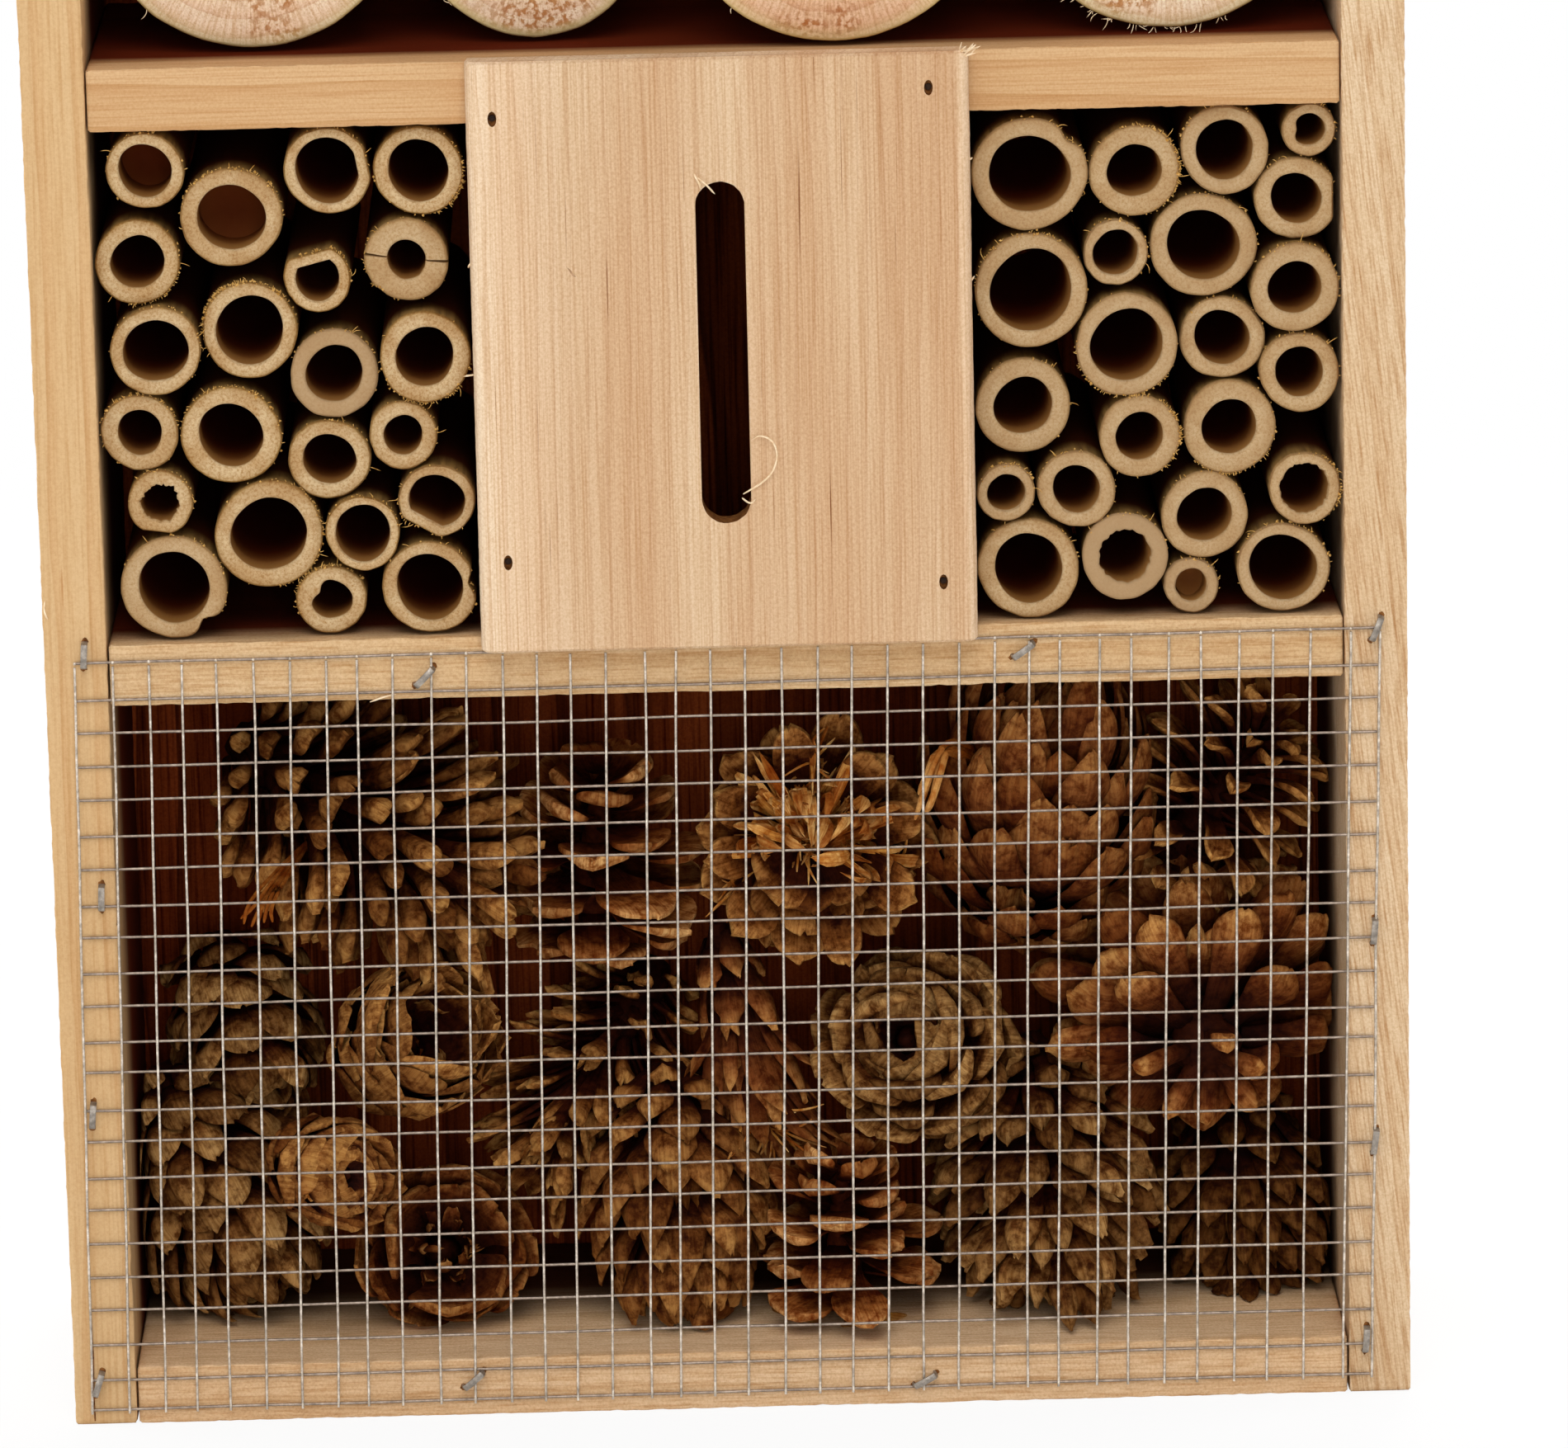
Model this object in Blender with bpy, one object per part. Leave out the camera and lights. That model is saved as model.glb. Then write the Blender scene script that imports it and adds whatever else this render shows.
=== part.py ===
"""Wall-hung insect hotel: a fir carcass with bays of pine cones, bamboo tubes, a butterfly box and logs.

The frame is metres with +Z up and the front facing -Y. Lengths below are in millimetres times MM.
Everything is placed from the carcass: y is 0 on its front edges and z is 0 under its bottom board.
"""

import math

import bmesh
import bpy
import numpy as np
from mathutils import Vector

MM = 0.001
GAP = 0.3 * MM

# Carcass
WIDTH = 246 * MM
DEPTH = 70 * MM
BOARD = 11.4 * MM
BOTTOM_BOARD = 10.8 * MM
BACK_BOARD = 5 * MM
EDGE_EASE = 0.5 * MM

# Clear heights of the bays, from the bottom up
CONE_BAY = 125.3 * MM
TUBE_BAY = 93.7 * MM
LOG_BAY = 66 * MM

# Gable roof, which the sides carry at the eaves
ROOF_BOARD = 11.4 * MM
ROOF_SLOPE = math.radians(45)
EAVES_OVERHANG = 18 * MM
FRONT_OVERHANG = 15 * MM
GABLE_BOARD = 9 * MM
HANG_HOLE = 9 * MM
HANG_HOLE_BELOW_RIDGE = 40 * MM

# Butterfly box between two dividers, closed by a nailed panel with a slot
PANEL_CENTRE = 0.6 * MM
PANEL_WIDTH = 89.4 * MM
PANEL_HEIGHT = 107.6 * MM
PANEL_THICK = 5.5 * MM
PANEL_BELOW_SHELF_TOP = 1.9 * MM
PANEL_ROUND = 2.4 * MM
DIVIDER = 11 * MM
SLOT_WIDTH = 8.8 * MM
SLOT_HEIGHT = 62.2 * MM
SLOT_ABOVE_PANEL_FOOT = 23 * MM
SLOT_ARC_STEPS = 6

# Wire mesh over the cone bay, drawn with every second wire
MESH_WIDTH = 235 * MM
MESH_HEIGHT = 141.4 * MM
MESH_FOOT = 3.1 * MM
MESH_SHIFT = -0.7 * MM
MESH_LEAN = 2.3 * MM
MESH_BAR = 0.8 * MM
MESH_COLUMNS = 18
MESH_ROWS = 11

# Bamboo: centre x, centre z, outer and bore diameter in millimetres, read off the photograph.
# Two rows that follow each other are touching neighbours, which share a node.
LEFT_TUBES = (
    (-101.5, 234.5, 13.8, 9.5), (-86.5, 225, 18, 12),
    (-69, 233.5, 15.6, 11.6), (-53, 232.5, 16, 11),
    (-104, 216.5, 15.3, 9.6), (-100.5, 201, 16.2, 11.4),
    (-71.5, 213.5, 12.1, 8), (-55.5, 216.5, 15, 7),
    (-83.5, 203.5, 17.3, 12.3), (-69, 195.5, 16, 10.2),
    (-53, 198.5, 16.5, 10.6), (-57, 184.5, 12.4, 7.1),
    (-104.5, 186.5, 13.9, 8.1), (-88, 185, 17.9, 11.5),
    (-70.5, 179.5, 14.7, 9.3), (-64.5, 167, 13.5, 10.1),
    (-101, 172.5, 11.9, 6.8), (-98.5, 157, 19, 12.9),
    (-82, 167, 19.6, 13.5), (-71, 154, 12.6, 7.3),
    (-51.5, 172.5, 13.6, 9.8), (-54, 156, 17, 12),
)
RIGHT_TUBES = (
    (56.5, 229.5, 20.5, 14.1), (75, 230, 16.3, 9.6),
    (92, 231.5, 15.9, 10.5), (104, 235, 9.6, 5.8),
    (104, 222.5, 15, 9.1), (103, 207, 16, 9.5),
    (56, 206.5, 20.5, 14.8), (71.5, 213.5, 11.8, 8.1),
    (87, 214, 18.9, 12.8), (90, 196.5, 15.1, 9.9),
    (72, 196.5, 18.5, 13), (76.5, 180.5, 14.8, 8.6),
    (104.5, 191.5, 14.5, 8.9), (94.5, 180.5, 16.9, 9.9),
    (54, 186.5, 17.2, 10.4), (51, 172, 10.5, 6.7),
    (63, 174, 14.1, 8.6), (71.5, 160, 15.8, 9.4),
    (85.5, 166.5, 15.8, 9.8), (82, 153.5, 10.1, 5.8),
    (105, 169.5, 13.1, 8.9), (98, 156.5, 16.5, 12.1),
    (54.5, 157, 18.3, 12.5),
)
TUBE_SIDES = 12
TUBE_SET_BACK = 1.2 * MM
TUBE_STAGGER = 0.5 * MM
TUBE_STAGGER_STEPS = 5
BEAD_WIDTH = 2.4 * MM
BEAD_LENGTH = 12 * MM

# Logs: centre x, radius, set back from the front, in millimetres
LOGS = ((-81.8, 29.4, 13), (-31.7, 20.9, 17), (21.9, 29.8, 5), (81.7, 29.4, 11.5))
LOG_SIDES = 20
LOG_HOLE = 8 * MM
LOG_HOLE_DEPTH = 40 * MM
LOG_HOLE_SIDES = 10

# Pine cones: centre x, y, z and half length in millimetres, then the way the tip points
CONES = (
    (-65, 34, 103, 26, (-0.9, -0.3, -0.3)),
    (-23, 36, 99, 20, (0.2, -0.6, -0.75)),
    (14, 26, 101, 21, (0.0, -1.0, -0.15)),
    (55, 32, 103, 22, (0.0, -1.0, 0.1)),
    (93, 38, 108, 17, (0.55, -0.3, 0.75)),
    (-90, 48, 60, 14, (0.2, -0.4, -0.85)),
    (-59, 25, 66, 19, (0.35, -0.85, 0.4)),
    (-27, 36, 56, 19, (-0.5, -0.4, -0.75)),
    (2, 42, 62, 18, (0.1, -0.2, -0.95)),
    (32, 22, 65, 17, (-0.2, -0.9, 0.35)),
    (84, 30, 68, 25, (0.0, -0.85, -0.5)),
    (-95, 26, 30, 20, (0.3, -0.5, -0.8)),
    (-74, 18, 44, 13, (0.2, -0.95, 0.1)),
    (-55, 28, 24, 16, (0.1, -0.95, 0.15)),
    (-11, 24, 32, 20, (0.05, -0.35, -0.95)),
    (19, 23, 28, 17, (0.0, -0.25, 0.95)),
    (59, 26, 31, 20, (0.25, -0.45, -0.85)),
    (95, 32, 26, 16, (0.1, -0.5, -0.85)),
)
CONE_RINGS = 7
CONE_SIDES = 10
CONE_GIRTH = 0.84
CONE_TAPER = 0.28
CONE_KNOB = 0.07
CONE_SWELL = 1.3

SETTLE_ROUNDS = 400
CLEAR = 0.4 * MM

# Heights worked out from the bays
LOWER_SHELF = BOTTOM_BOARD + CONE_BAY
TUBE_FLOOR = LOWER_SHELF + BOARD
UPPER_SHELF = TUBE_FLOOR + TUBE_BAY
LOG_FLOOR = UPPER_SHELF + BOARD
ATTIC_FLOOR = LOG_FLOOR + LOG_BAY
EAVES = ATTIC_FLOOR + BOARD
HALF = WIDTH / 2
INNER = HALF - BOARD
RIDGE = EAVES + HALF * math.tan(ROOF_SLOPE)
ROOF_LIFT = GAP / math.cos(ROOF_SLOPE)
BACK = DEPTH + GAP + BACK_BOARD
DIVIDER_FACE = PANEL_WIDTH / 2


def material(name, colour, roughness, metallic=0.0):
    made = bpy.data.materials.new(name)
    made.use_nodes = True
    shader = made.node_tree.nodes["Principled BSDF"]
    shader.inputs["Base Color"].default_value = (*colour, 1)
    shader.inputs["Roughness"].default_value = roughness
    shader.inputs["Metallic"].default_value = metallic
    return made


def place(name, bm, finish, location=(0, 0, 0), round_form=False):
    """One object from a bmesh, with its faces out, under the hotel's own empty."""
    bmesh.ops.recalc_face_normals(bm, faces=bm.faces)
    mesh = bpy.data.meshes.new(name)
    bm.to_mesh(mesh)
    bm.free()
    if round_form:
        mesh.shade_smooth()
        mesh.set_sharp_from_angle(angle=math.radians(40))
    mesh.materials.append(finish)
    made = bpy.data.objects.new(name, mesh)
    bpy.context.scene.collection.objects.link(made)
    made.location = location
    made.parent = hotel
    return made


def join(made, other, operation):
    """Cuts a helper out of an object, or fuses it on, and hides the helper."""
    step = made.modifiers.new(operation.title(), "BOOLEAN")
    step.operation = operation
    step.solver = "EXACT"
    step.object = other
    other.hide_render = True
    other.display_type = "WIRE"


def ease(made):
    step = made.modifiers.new("Eased edges", "BEVEL")
    step.width = EDGE_EASE
    step.segments = 1
    step.limit_method = "ANGLE"


def prism(name, outline, front, back, finish, eased=True):
    """An outline in x and z, extruded from front to back and centred on its own middle."""
    middle = Vector((0, (front + back) / 2, 0))
    bm = bmesh.new()
    face = bm.faces.new([bm.verts.new((x, front - middle.y, z)) for x, z in outline])
    grown = bmesh.ops.extrude_face_region(bm, geom=[face])
    moved = [part for part in grown["geom"] if isinstance(part, bmesh.types.BMVert)]
    bmesh.ops.translate(bm, vec=(0, back - front, 0), verts=moved)
    made = place(name, bm, finish, middle)
    if eased:
        ease(made)
    return made


def board(name, left, right, foot, head, finish, front=0.0, back=DEPTH):
    outline = ((left, foot), (right, foot), (right, head), (left, head))
    return prism(name, outline, front, back, finish)


def circle(x, z, radius, sides):
    turns = [2 * math.pi * (step + 0.5) / sides for step in range(sides)]
    return [(x + radius * math.cos(turn), z + radius * math.sin(turn)) for turn in turns]


def drill(made, x, z, radius, front, back, sides):
    cutter = prism(made.name + "_drill", circle(x, z, radius, sides), front, back, steel, False)
    join(made, cutter, "DIFFERENCE")


def push_apart(centres, radii, low, high):
    """Nudges balls, or discs, off each other and off the walls until every gap is clear."""
    places = np.array(centres)
    room = np.array(radii)[:, None] + CLEAR
    for _ in range(SETTLE_ROUNDS):
        for i in range(len(places)):
            for j in range(i):
                step = places[i] - places[j]
                apart = np.linalg.norm(step)
                short = radii[i] + radii[j] + CLEAR - apart
                if short > 0:
                    nudge = step / apart * short / 2
                    places[i] += nudge
                    places[j] -= nudge
        places = np.clip(places, low + room, high - room)
    return places


def carcass():
    for side, name in ((-1, "left_side_board"), (1, "right_side_board")):
        outline = (
            (side * HALF, 0),
            (side * INNER, 0),
            (side * INNER, EAVES + BOARD * math.tan(ROOF_SLOPE)),
            (side * HALF, EAVES),
        )
        prism(name, outline, 0, DEPTH, fir)
    end = INNER - GAP
    board("bottom_board", -end, end, 0, BOTTOM_BOARD, fir)
    board("lower_shelf", -end, end, LOWER_SHELF, TUBE_FLOOR, fir)
    board("upper_shelf", -end, end, UPPER_SHELF, LOG_FLOOR, fir)
    board("attic_floor", -end, end, ATTIC_FLOOR, EAVES, fir)


def back_panel():
    outline = ((-HALF, 0), (HALF, 0), (HALF, EAVES), (0, RIDGE), (-HALF, EAVES))
    made = prism("back_panel", outline, DEPTH + GAP, BACK, stained_back)
    hole = RIDGE - HANG_HOLE_BELOW_RIDGE
    drill(made, 0, hole, HANG_HOLE / 2, DEPTH - BOARD, BACK + BOARD, TUBE_SIDES)


def roof():
    """Two boards that meet square at the ridge, the right one lapping over the left one's end."""
    apex = Vector((0, RIDGE + ROOF_LIFT))
    run = (HALF + EAVES_OVERHANG) / math.cos(ROOF_SLOPE)
    for side, start, name in ((1, -ROOF_BOARD, "right_roof_board"), (-1, GAP, "left_roof_board")):
        down = Vector((side * math.cos(ROOF_SLOPE), -math.sin(ROOF_SLOPE)))
        out = Vector((side * math.sin(ROOF_SLOPE), math.cos(ROOF_SLOPE))) * ROOF_BOARD
        outline = [apex + down * start, apex + down * run, apex + down * run + out, apex + down * start + out]
        prism(name, outline, -FRONT_OVERHANG, BACK, fir)


def gable():
    end = INNER - GAP
    foot = EAVES + GAP
    shoulder = EAVES + (HALF - end) * math.tan(ROOF_SLOPE)
    outline = ((-end, foot), (end, foot), (end, shoulder), (0, RIDGE), (-end, shoulder))
    prism("gable_board", outline, 0, GABLE_BOARD, fir)


def butterfly_box():
    for side, name in ((-1, "left_divider"), (1, "right_divider")):
        outer = PANEL_CENTRE + side * DIVIDER_FACE
        ends = sorted((outer, outer - side * DIVIDER))
        board(name, *ends, TUBE_FLOOR + GAP, UPPER_SHELF - GAP, fir)
    foot = TUBE_FLOOR - PANEL_BELOW_SHELF_TOP
    bm = bmesh.new()
    bmesh.ops.create_cube(bm, size=1)
    bmesh.ops.scale(bm, vec=(PANEL_WIDTH, PANEL_THICK, PANEL_HEIGHT), verts=bm.verts)
    front_edges = [
        edge for edge in bm.edges
        if all(v.co.y < 0 for v in edge.verts) and edge.verts[0].co.x * edge.verts[1].co.x > 0
        and abs(edge.verts[0].co.z - edge.verts[1].co.z) > PANEL_WIDTH
    ]
    bmesh.ops.bevel(bm, geom=front_edges, offset=PANEL_ROUND, segments=3, profile=0.5, affect="EDGES")
    centre = (PANEL_CENTRE, -GAP - PANEL_THICK / 2, foot + PANEL_HEIGHT / 2)
    made = place("butterfly_panel", bm, planed_fir, centre)
    low = foot + SLOT_ABOVE_PANEL_FOOT + SLOT_WIDTH / 2
    high = low + SLOT_HEIGHT - SLOT_WIDTH
    turns = [math.pi * step / SLOT_ARC_STEPS for step in range(SLOT_ARC_STEPS + 1)]
    half = SLOT_WIDTH / 2
    head = [(PANEL_CENTRE + half * math.cos(turn), high + half * math.sin(turn)) for turn in turns]
    tail = [(PANEL_CENTRE - half * math.cos(turn), low - half * math.sin(turn)) for turn in turns]
    cutter = prism("slot_cutter", head + tail, -PANEL_THICK * 2, PANEL_THICK, steel, False)
    join(made, cutter, "DIFFERENCE")


def wire_mesh():
    """A leaning grid of square bars, built as one sheet of quads with the gaps left out, then thickened."""

    def edges(size, count):
        wires = [size * step / count for step in range(count + 1)]
        return [wire + side * MESH_BAR / 2 for wire in wires for side in (-1, 1)]

    columns = edges(MESH_WIDTH, MESH_COLUMNS)
    rows = edges(MESH_HEIGHT, MESH_ROWS)
    bm = bmesh.new()
    grid = [
        [bm.verts.new((x - MESH_WIDTH / 2 + MESH_LEAN * (z / MESH_HEIGHT - 0.5), 0, z)) for x in columns]
        for z in rows
    ]
    for r in range(len(rows) - 1):
        for c in range(len(columns) - 1):
            in_gap = r % 2 and c % 2
            if not in_gap:
                bm.faces.new((grid[r][c], grid[r][c + 1], grid[r + 1][c + 1], grid[r + 1][c]))
    sheet = list(bm.faces)
    grown = bmesh.ops.extrude_face_region(bm, geom=sheet)
    moved = [part for part in grown["geom"] if isinstance(part, bmesh.types.BMVert)]
    bmesh.ops.translate(bm, vec=(0, -MESH_BAR, 0), verts=moved)
    place("wire_mesh", bm, steel, (MESH_SHIFT, -GAP, MESH_FOOT))


def add_tube(bm, x, z, outer, bore, front, back):
    """A round tube along y, added to a bmesh."""
    loops = []
    for radius, y in ((outer, front), (outer, back), (bore, back), (bore, front)):
        loops.append([bm.verts.new((px, y, pz)) for px, pz in circle(x, z, radius, TUBE_SIDES)])
    for near, far in zip(loops, loops[1:] + loops[:1]):
        for k in range(TUBE_SIDES):
            after = (k + 1) % TUBE_SIDES
            bm.faces.new((near[k], near[after], far[after], far[k]))


def add_bead(first, second, name):
    """A bar of glue from the middle of one tube's wall to the middle of the next one's."""
    (x, z, outer, bore), (x2, z2, outer2, bore2) = first, second
    line = Vector((x2 - x, z2 - z))
    along = line.normalized()
    start = Vector((x, z)) + along * (outer + bore) / 2
    end = Vector((x2, z2)) - along * (outer2 + bore2) / 2
    across = Vector((-along.y, along.x)) * BEAD_WIDTH / 2
    outline = (start - across, end - across, end + across, start + across)
    return prism(name, outline, DEPTH / 2 - BEAD_LENGTH / 2, DEPTH / 2 + BEAD_LENGTH / 2, steel, False)


def settled_tubes(rows, left, right):
    """Rows of x, z, outer and bore radius in metres, pushed clear of each other and of the bay."""
    sizes = np.array(rows) * MM
    radii = sizes[:, 2] / 2
    low = np.array((left, TUBE_FLOOR))
    places = push_apart(sizes[:, :2], radii, low, np.array((right, UPPER_SHELF)))
    return [(*spot, row[2] / 2, row[3] / 2) for spot, row in zip(places.tolist(), sizes.tolist())]


def bamboo(tubes, stem):
    """Neighbours two by two, each pair held by a bead of glue."""
    for first in range(0, len(tubes), 2):
        pair = tubes[first:first + 2]
        name = f"{stem}_{first // 2 + 1:02d}"
        bm = bmesh.new()
        for step, (x, z, outer, bore) in enumerate(pair, first):
            front = TUBE_SET_BACK + TUBE_STAGGER * (step % TUBE_STAGGER_STEPS)
            add_tube(bm, x, z, outer, bore, front, DEPTH - GAP)
        made = place(name, bm, cane, round_form=True)
        if len(pair) == 2:
            join(made, add_bead(*pair, name + "_bead"), "UNION")


def logs():
    """Debarked logs that lie on the upper shelf, each with one nest hole drilled from the front."""
    for count, (x, radius, set_back) in enumerate(np.array(LOGS) * MM, 1):
        z = LOG_FLOOR + GAP + radius
        made = prism(f"log_{count}", circle(x, z, radius, LOG_SIDES), set_back, DEPTH - GAP, bare_log)
        drill(made, x, z, LOG_HOLE / 2, -BOARD, set_back + LOG_HOLE_DEPTH, LOG_HOLE_SIDES)


def cone_form():
    """A knobbly egg along +Z, its widest ring below the middle, that fits a ball of radius 1."""
    bm = bmesh.new()
    rings = []
    for ring in range(CONE_RINGS):
        t = -1 + 2 * (ring + 1) / (CONE_RINGS + 1)
        girth = CONE_GIRTH * math.sqrt(1 - t * t) * (1 - CONE_TAPER * t)
        verts = []
        for side in range(CONE_SIDES):
            turn = 2 * math.pi * (side + 0.5 * (ring % 2)) / CONE_SIDES
            reach = girth * (1 + CONE_KNOB * (-1) ** (side + ring))
            verts.append(bm.verts.new((reach * math.cos(turn), reach * math.sin(turn), t)))
        rings.append(verts)
    for low, high in zip(rings, rings[1:]):
        for k in range(CONE_SIDES):
            after = (k + 1) % CONE_SIDES
            bm.faces.new((low[k], low[after], high[after], high[k]))
    for ring, tip in ((rings[0], -1), (rings[-1], 1)):
        point = bm.verts.new((0, 0, tip))
        for k in range(CONE_SIDES):
            bm.faces.new((point, ring[k], ring[(k + 1) % CONE_SIDES]))
    bmesh.ops.triangulate(bm, faces=bm.faces)
    widest = max(vert.co.length for vert in bm.verts)
    bmesh.ops.scale(bm, vec=[1 / widest] * 3, verts=bm.verts)
    return bm


def grown_balls(places, radii, low, high):
    """Each ball in turn swells until it meets a neighbour or a wall, so that the cones hold each other up."""
    radii = np.array(radii)
    for i, spot in enumerate(places):
        others = np.arange(len(places)) != i
        free = np.linalg.norm(places[others] - spot, axis=1) - radii[others]
        room = min(free.min(), (spot - low).min(), (high - spot).min()) - CLEAR
        radii[i] = min(max(room, radii[i]), radii[i] * CONE_SWELL)
    return radii


def pine_cones():
    balls = [row[3] * MM for row in CONES]
    middles = [[side * MM for side in row[:3]] for row in CONES]
    low = np.array((-INNER, 0, BOTTOM_BOARD))
    high = np.array((INNER, DEPTH, LOWER_SHELF))
    places = push_apart(middles, balls, low, high)
    balls = grown_balls(places, balls, low, high)
    for count, (spot, ball, row) in enumerate(zip(places, balls, CONES), 1):
        bm = cone_form()
        turned = Vector(row[4]).to_track_quat("Z", "Y").to_matrix()
        bmesh.ops.transform(bm, matrix=(turned * ball).to_4x4(), verts=bm.verts)
        place(f"pine_cone_{count:02d}", bm, cone_scale, spot, round_form=True)


for old in list(bpy.data.objects):
    bpy.data.objects.remove(old)

fir = material("Sawn fir", (0.54, 0.36, 0.18), 0.75)
planed_fir = material("Planed pale fir", (0.68, 0.47, 0.27), 0.6)
stained_back = material("Dark back board", (0.10, 0.035, 0.02), 0.8)
cane = material("Cut bamboo", (0.45, 0.32, 0.15), 0.7)
bare_log = material("Log end grain", (0.62, 0.43, 0.23), 0.85)
cone_scale = material("Pine cone scale", (0.18, 0.09, 0.035), 0.85)
steel = material("Galvanised wire", (0.42, 0.40, 0.37), 0.4, 1.0)

hotel = bpy.data.objects.new("insect_hotel", None)
hotel.location = (0, -(BACK - FRONT_OVERHANG) / 2, 0)
bpy.context.scene.collection.objects.link(hotel)

left_tubes = settled_tubes(LEFT_TUBES, -INNER, PANEL_CENTRE - DIVIDER_FACE)
right_tubes = settled_tubes(RIGHT_TUBES, PANEL_CENTRE + DIVIDER_FACE, INNER)

carcass()
back_panel()
roof()
gable()
butterfly_box()
wire_mesh()
bamboo(left_tubes, "bamboo_left")
bamboo(right_tubes, "bamboo_right")
logs()
pine_cones()
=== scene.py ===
import math
import random

import bmesh
import bpy
import numpy as np
from mathutils import Matrix, Vector, noise


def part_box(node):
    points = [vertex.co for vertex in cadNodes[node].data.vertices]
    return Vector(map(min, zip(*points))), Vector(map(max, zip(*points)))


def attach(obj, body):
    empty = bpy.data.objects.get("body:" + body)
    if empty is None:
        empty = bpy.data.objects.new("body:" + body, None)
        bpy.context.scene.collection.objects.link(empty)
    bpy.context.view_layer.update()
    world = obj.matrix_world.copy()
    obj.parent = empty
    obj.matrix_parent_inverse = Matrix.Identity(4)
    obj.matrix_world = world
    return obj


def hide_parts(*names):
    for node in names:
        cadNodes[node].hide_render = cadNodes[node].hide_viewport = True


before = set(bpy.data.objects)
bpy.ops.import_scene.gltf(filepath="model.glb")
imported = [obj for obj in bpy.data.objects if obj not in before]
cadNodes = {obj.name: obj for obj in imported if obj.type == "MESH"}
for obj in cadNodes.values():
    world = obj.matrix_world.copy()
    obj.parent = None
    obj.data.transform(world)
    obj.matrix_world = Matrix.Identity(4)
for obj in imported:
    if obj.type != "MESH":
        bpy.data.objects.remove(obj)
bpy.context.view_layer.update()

mm = 0.001
fullTurn = 2 * math.pi
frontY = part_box("left_side_board")[0].y / mm  # lengths are mm, and y counts from the carcass's front edges
print("frame loaded,", len(cadNodes), "nodes")


# small helpers

def hexLinear(code):
    channels = [int(code[k:k + 2], 16) / 255 for k in (1, 3, 5)]
    return (*[c / 12.92 if c <= 0.04045 else ((c + 0.055) / 1.055) ** 2.4 for c in channels], 1.0)


def plug(tree, value, socket):
    # puts a value, a socket or a node's first live output into a socket
    if isinstance(value, bpy.types.Node):
        value = next(output for output in value.outputs if output.enabled)
    if isinstance(value, bpy.types.NodeSocket):
        tree.links.new(value, socket)
    else:
        socket.default_value = value


def addNode(tree, kind, links=None, stops=None, lumps=None, **settings):
    node = tree.nodes.new("ShaderNode" + kind)
    for key, value in settings.items():
        setattr(node, key, value)
    links = dict(links or {})
    if lumps:  # how large a pattern's lumps are along each axis, in the unit of its place
        sizes = lumps if isinstance(lumps, tuple) else (lumps,) * 3
        scale = [1 / size if size else 0 for size in sizes]
        links["Vector"] = addNode(tree, "VectorMath", {0: links["Vector"], 1: scale}, operation="MULTIPLY")
        links["Scale"] = 1
    for socket, value in links.items():
        plug(tree, value, node.inputs[socket])
    if stops:  # (place, hex) pairs of a colour ramp
        ramp = node.color_ramp.elements
        for end, (place, code) in ((ramp[0], stops[0]), (ramp[1], stops[-1])):
            end.position, end.color = place, hexLinear(code)
        for place, code in stops[1:-1]:
            ramp.new(place).color = hexLinear(code)
    return node


def freshMaterial(name, roughness, metallic=0.0, sheen=0.5):
    made = bpy.data.materials.new(name)
    made.use_nodes = True
    shader = made.node_tree.nodes["Principled BSDF"]
    shader.inputs["Roughness"].default_value = roughness
    shader.inputs["Metallic"].default_value = metallic
    shader.inputs["Specular IOR Level"].default_value = sheen  # bare fibres have next to none
    return made, made.node_tree, shader


def ripple(x, y, z, seed=0):
    # smooth chance from -1 to 1, with each seed in another part of the noise
    return noise.noise(Vector((x, y, z + 31.7 * seed)))


def roundRipple(times, angle, z, seed):
    # a ripple that closes on itself round a circle
    return ripple(times * math.cos(angle), times * math.sin(angle), z, seed)


def smooth(value):
    value = np.clip(value, 0, 1)
    return value * value * (3 - 2 * value)


def unit(vectors):
    return vectors / (np.linalg.norm(vectors, axis=-1, keepdims=True) + 1e-9)


def turns(count):
    # the angles of a ring of points
    return np.linspace(0, fullTurn, count, endpoint=False)


def onCircle(x, y, z, radius, angle):
    # a point of an upright circle that faces the front
    return x + radius * math.cos(angle), y, z + radius * math.sin(angle)


def nodePoints(node):
    points = np.array([vertex.co for vertex in cadNodes[node].data.vertices]) / mm
    points[:, 1] -= frontY
    return points


def addObject(name, data):
    made = bpy.data.objects.new(name, data)
    bpy.context.scene.collection.objects.link(made)
    return made


def meshOf(name, points, faces):
    # a mesh in the frame's metres with its faces turned outwards
    made = bpy.data.meshes.new(name)
    placed = np.array(points, float)
    placed[:, 1] += frontY
    made.from_pydata((placed * mm).tolist(), [], faces)
    shell = bmesh.new()
    shell.from_mesh(made)
    bmesh.ops.recalc_face_normals(shell, faces=shell.faces)
    shell.to_mesh(made)
    shell.free()
    return made


def addMark(shape, key, values):
    # a number or a vector for each point, which a material reads
    values = np.asarray(values, np.float32)
    layer = shape.attributes.new(key, "FLOAT_VECTOR" if values.ndim == 2 else "FLOAT", "POINT")
    layer.data.foreach_set("vector" if values.ndim == 2 else "value", values.ravel())


def makePiece(name, points, faces, materials, stands=(), marks=None, finish=None, sharp=50):
    shape = meshOf(name, points, faces)
    for key, values in (marks or {}).items():
        addMark(shape, key, values)
    for material in materials:
        shape.materials.append(material)
    if finish is not None:  # which of the materials each face has
        shape.polygons.foreach_set("material_index", np.asarray(finish, np.int32))
    shape.polygons.foreach_set("use_smooth", [True] * len(shape.polygons))
    shape.set_sharp_from_angle(angle=math.radians(sharp))
    piece = addObject(name, shape)
    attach(piece, "root")
    if stands:
        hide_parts(*stands)
    return piece


def ringFaces(rings, around, start=0):
    # quads between neighbouring closed rings of points
    faces = []
    for row in range(start, start + (rings - 1) * around, around):
        for k in range(around):
            after = (k + 1) % around
            faces.append((row + k, row + after, row + around + after, row + around + k))
    return faces


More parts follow.
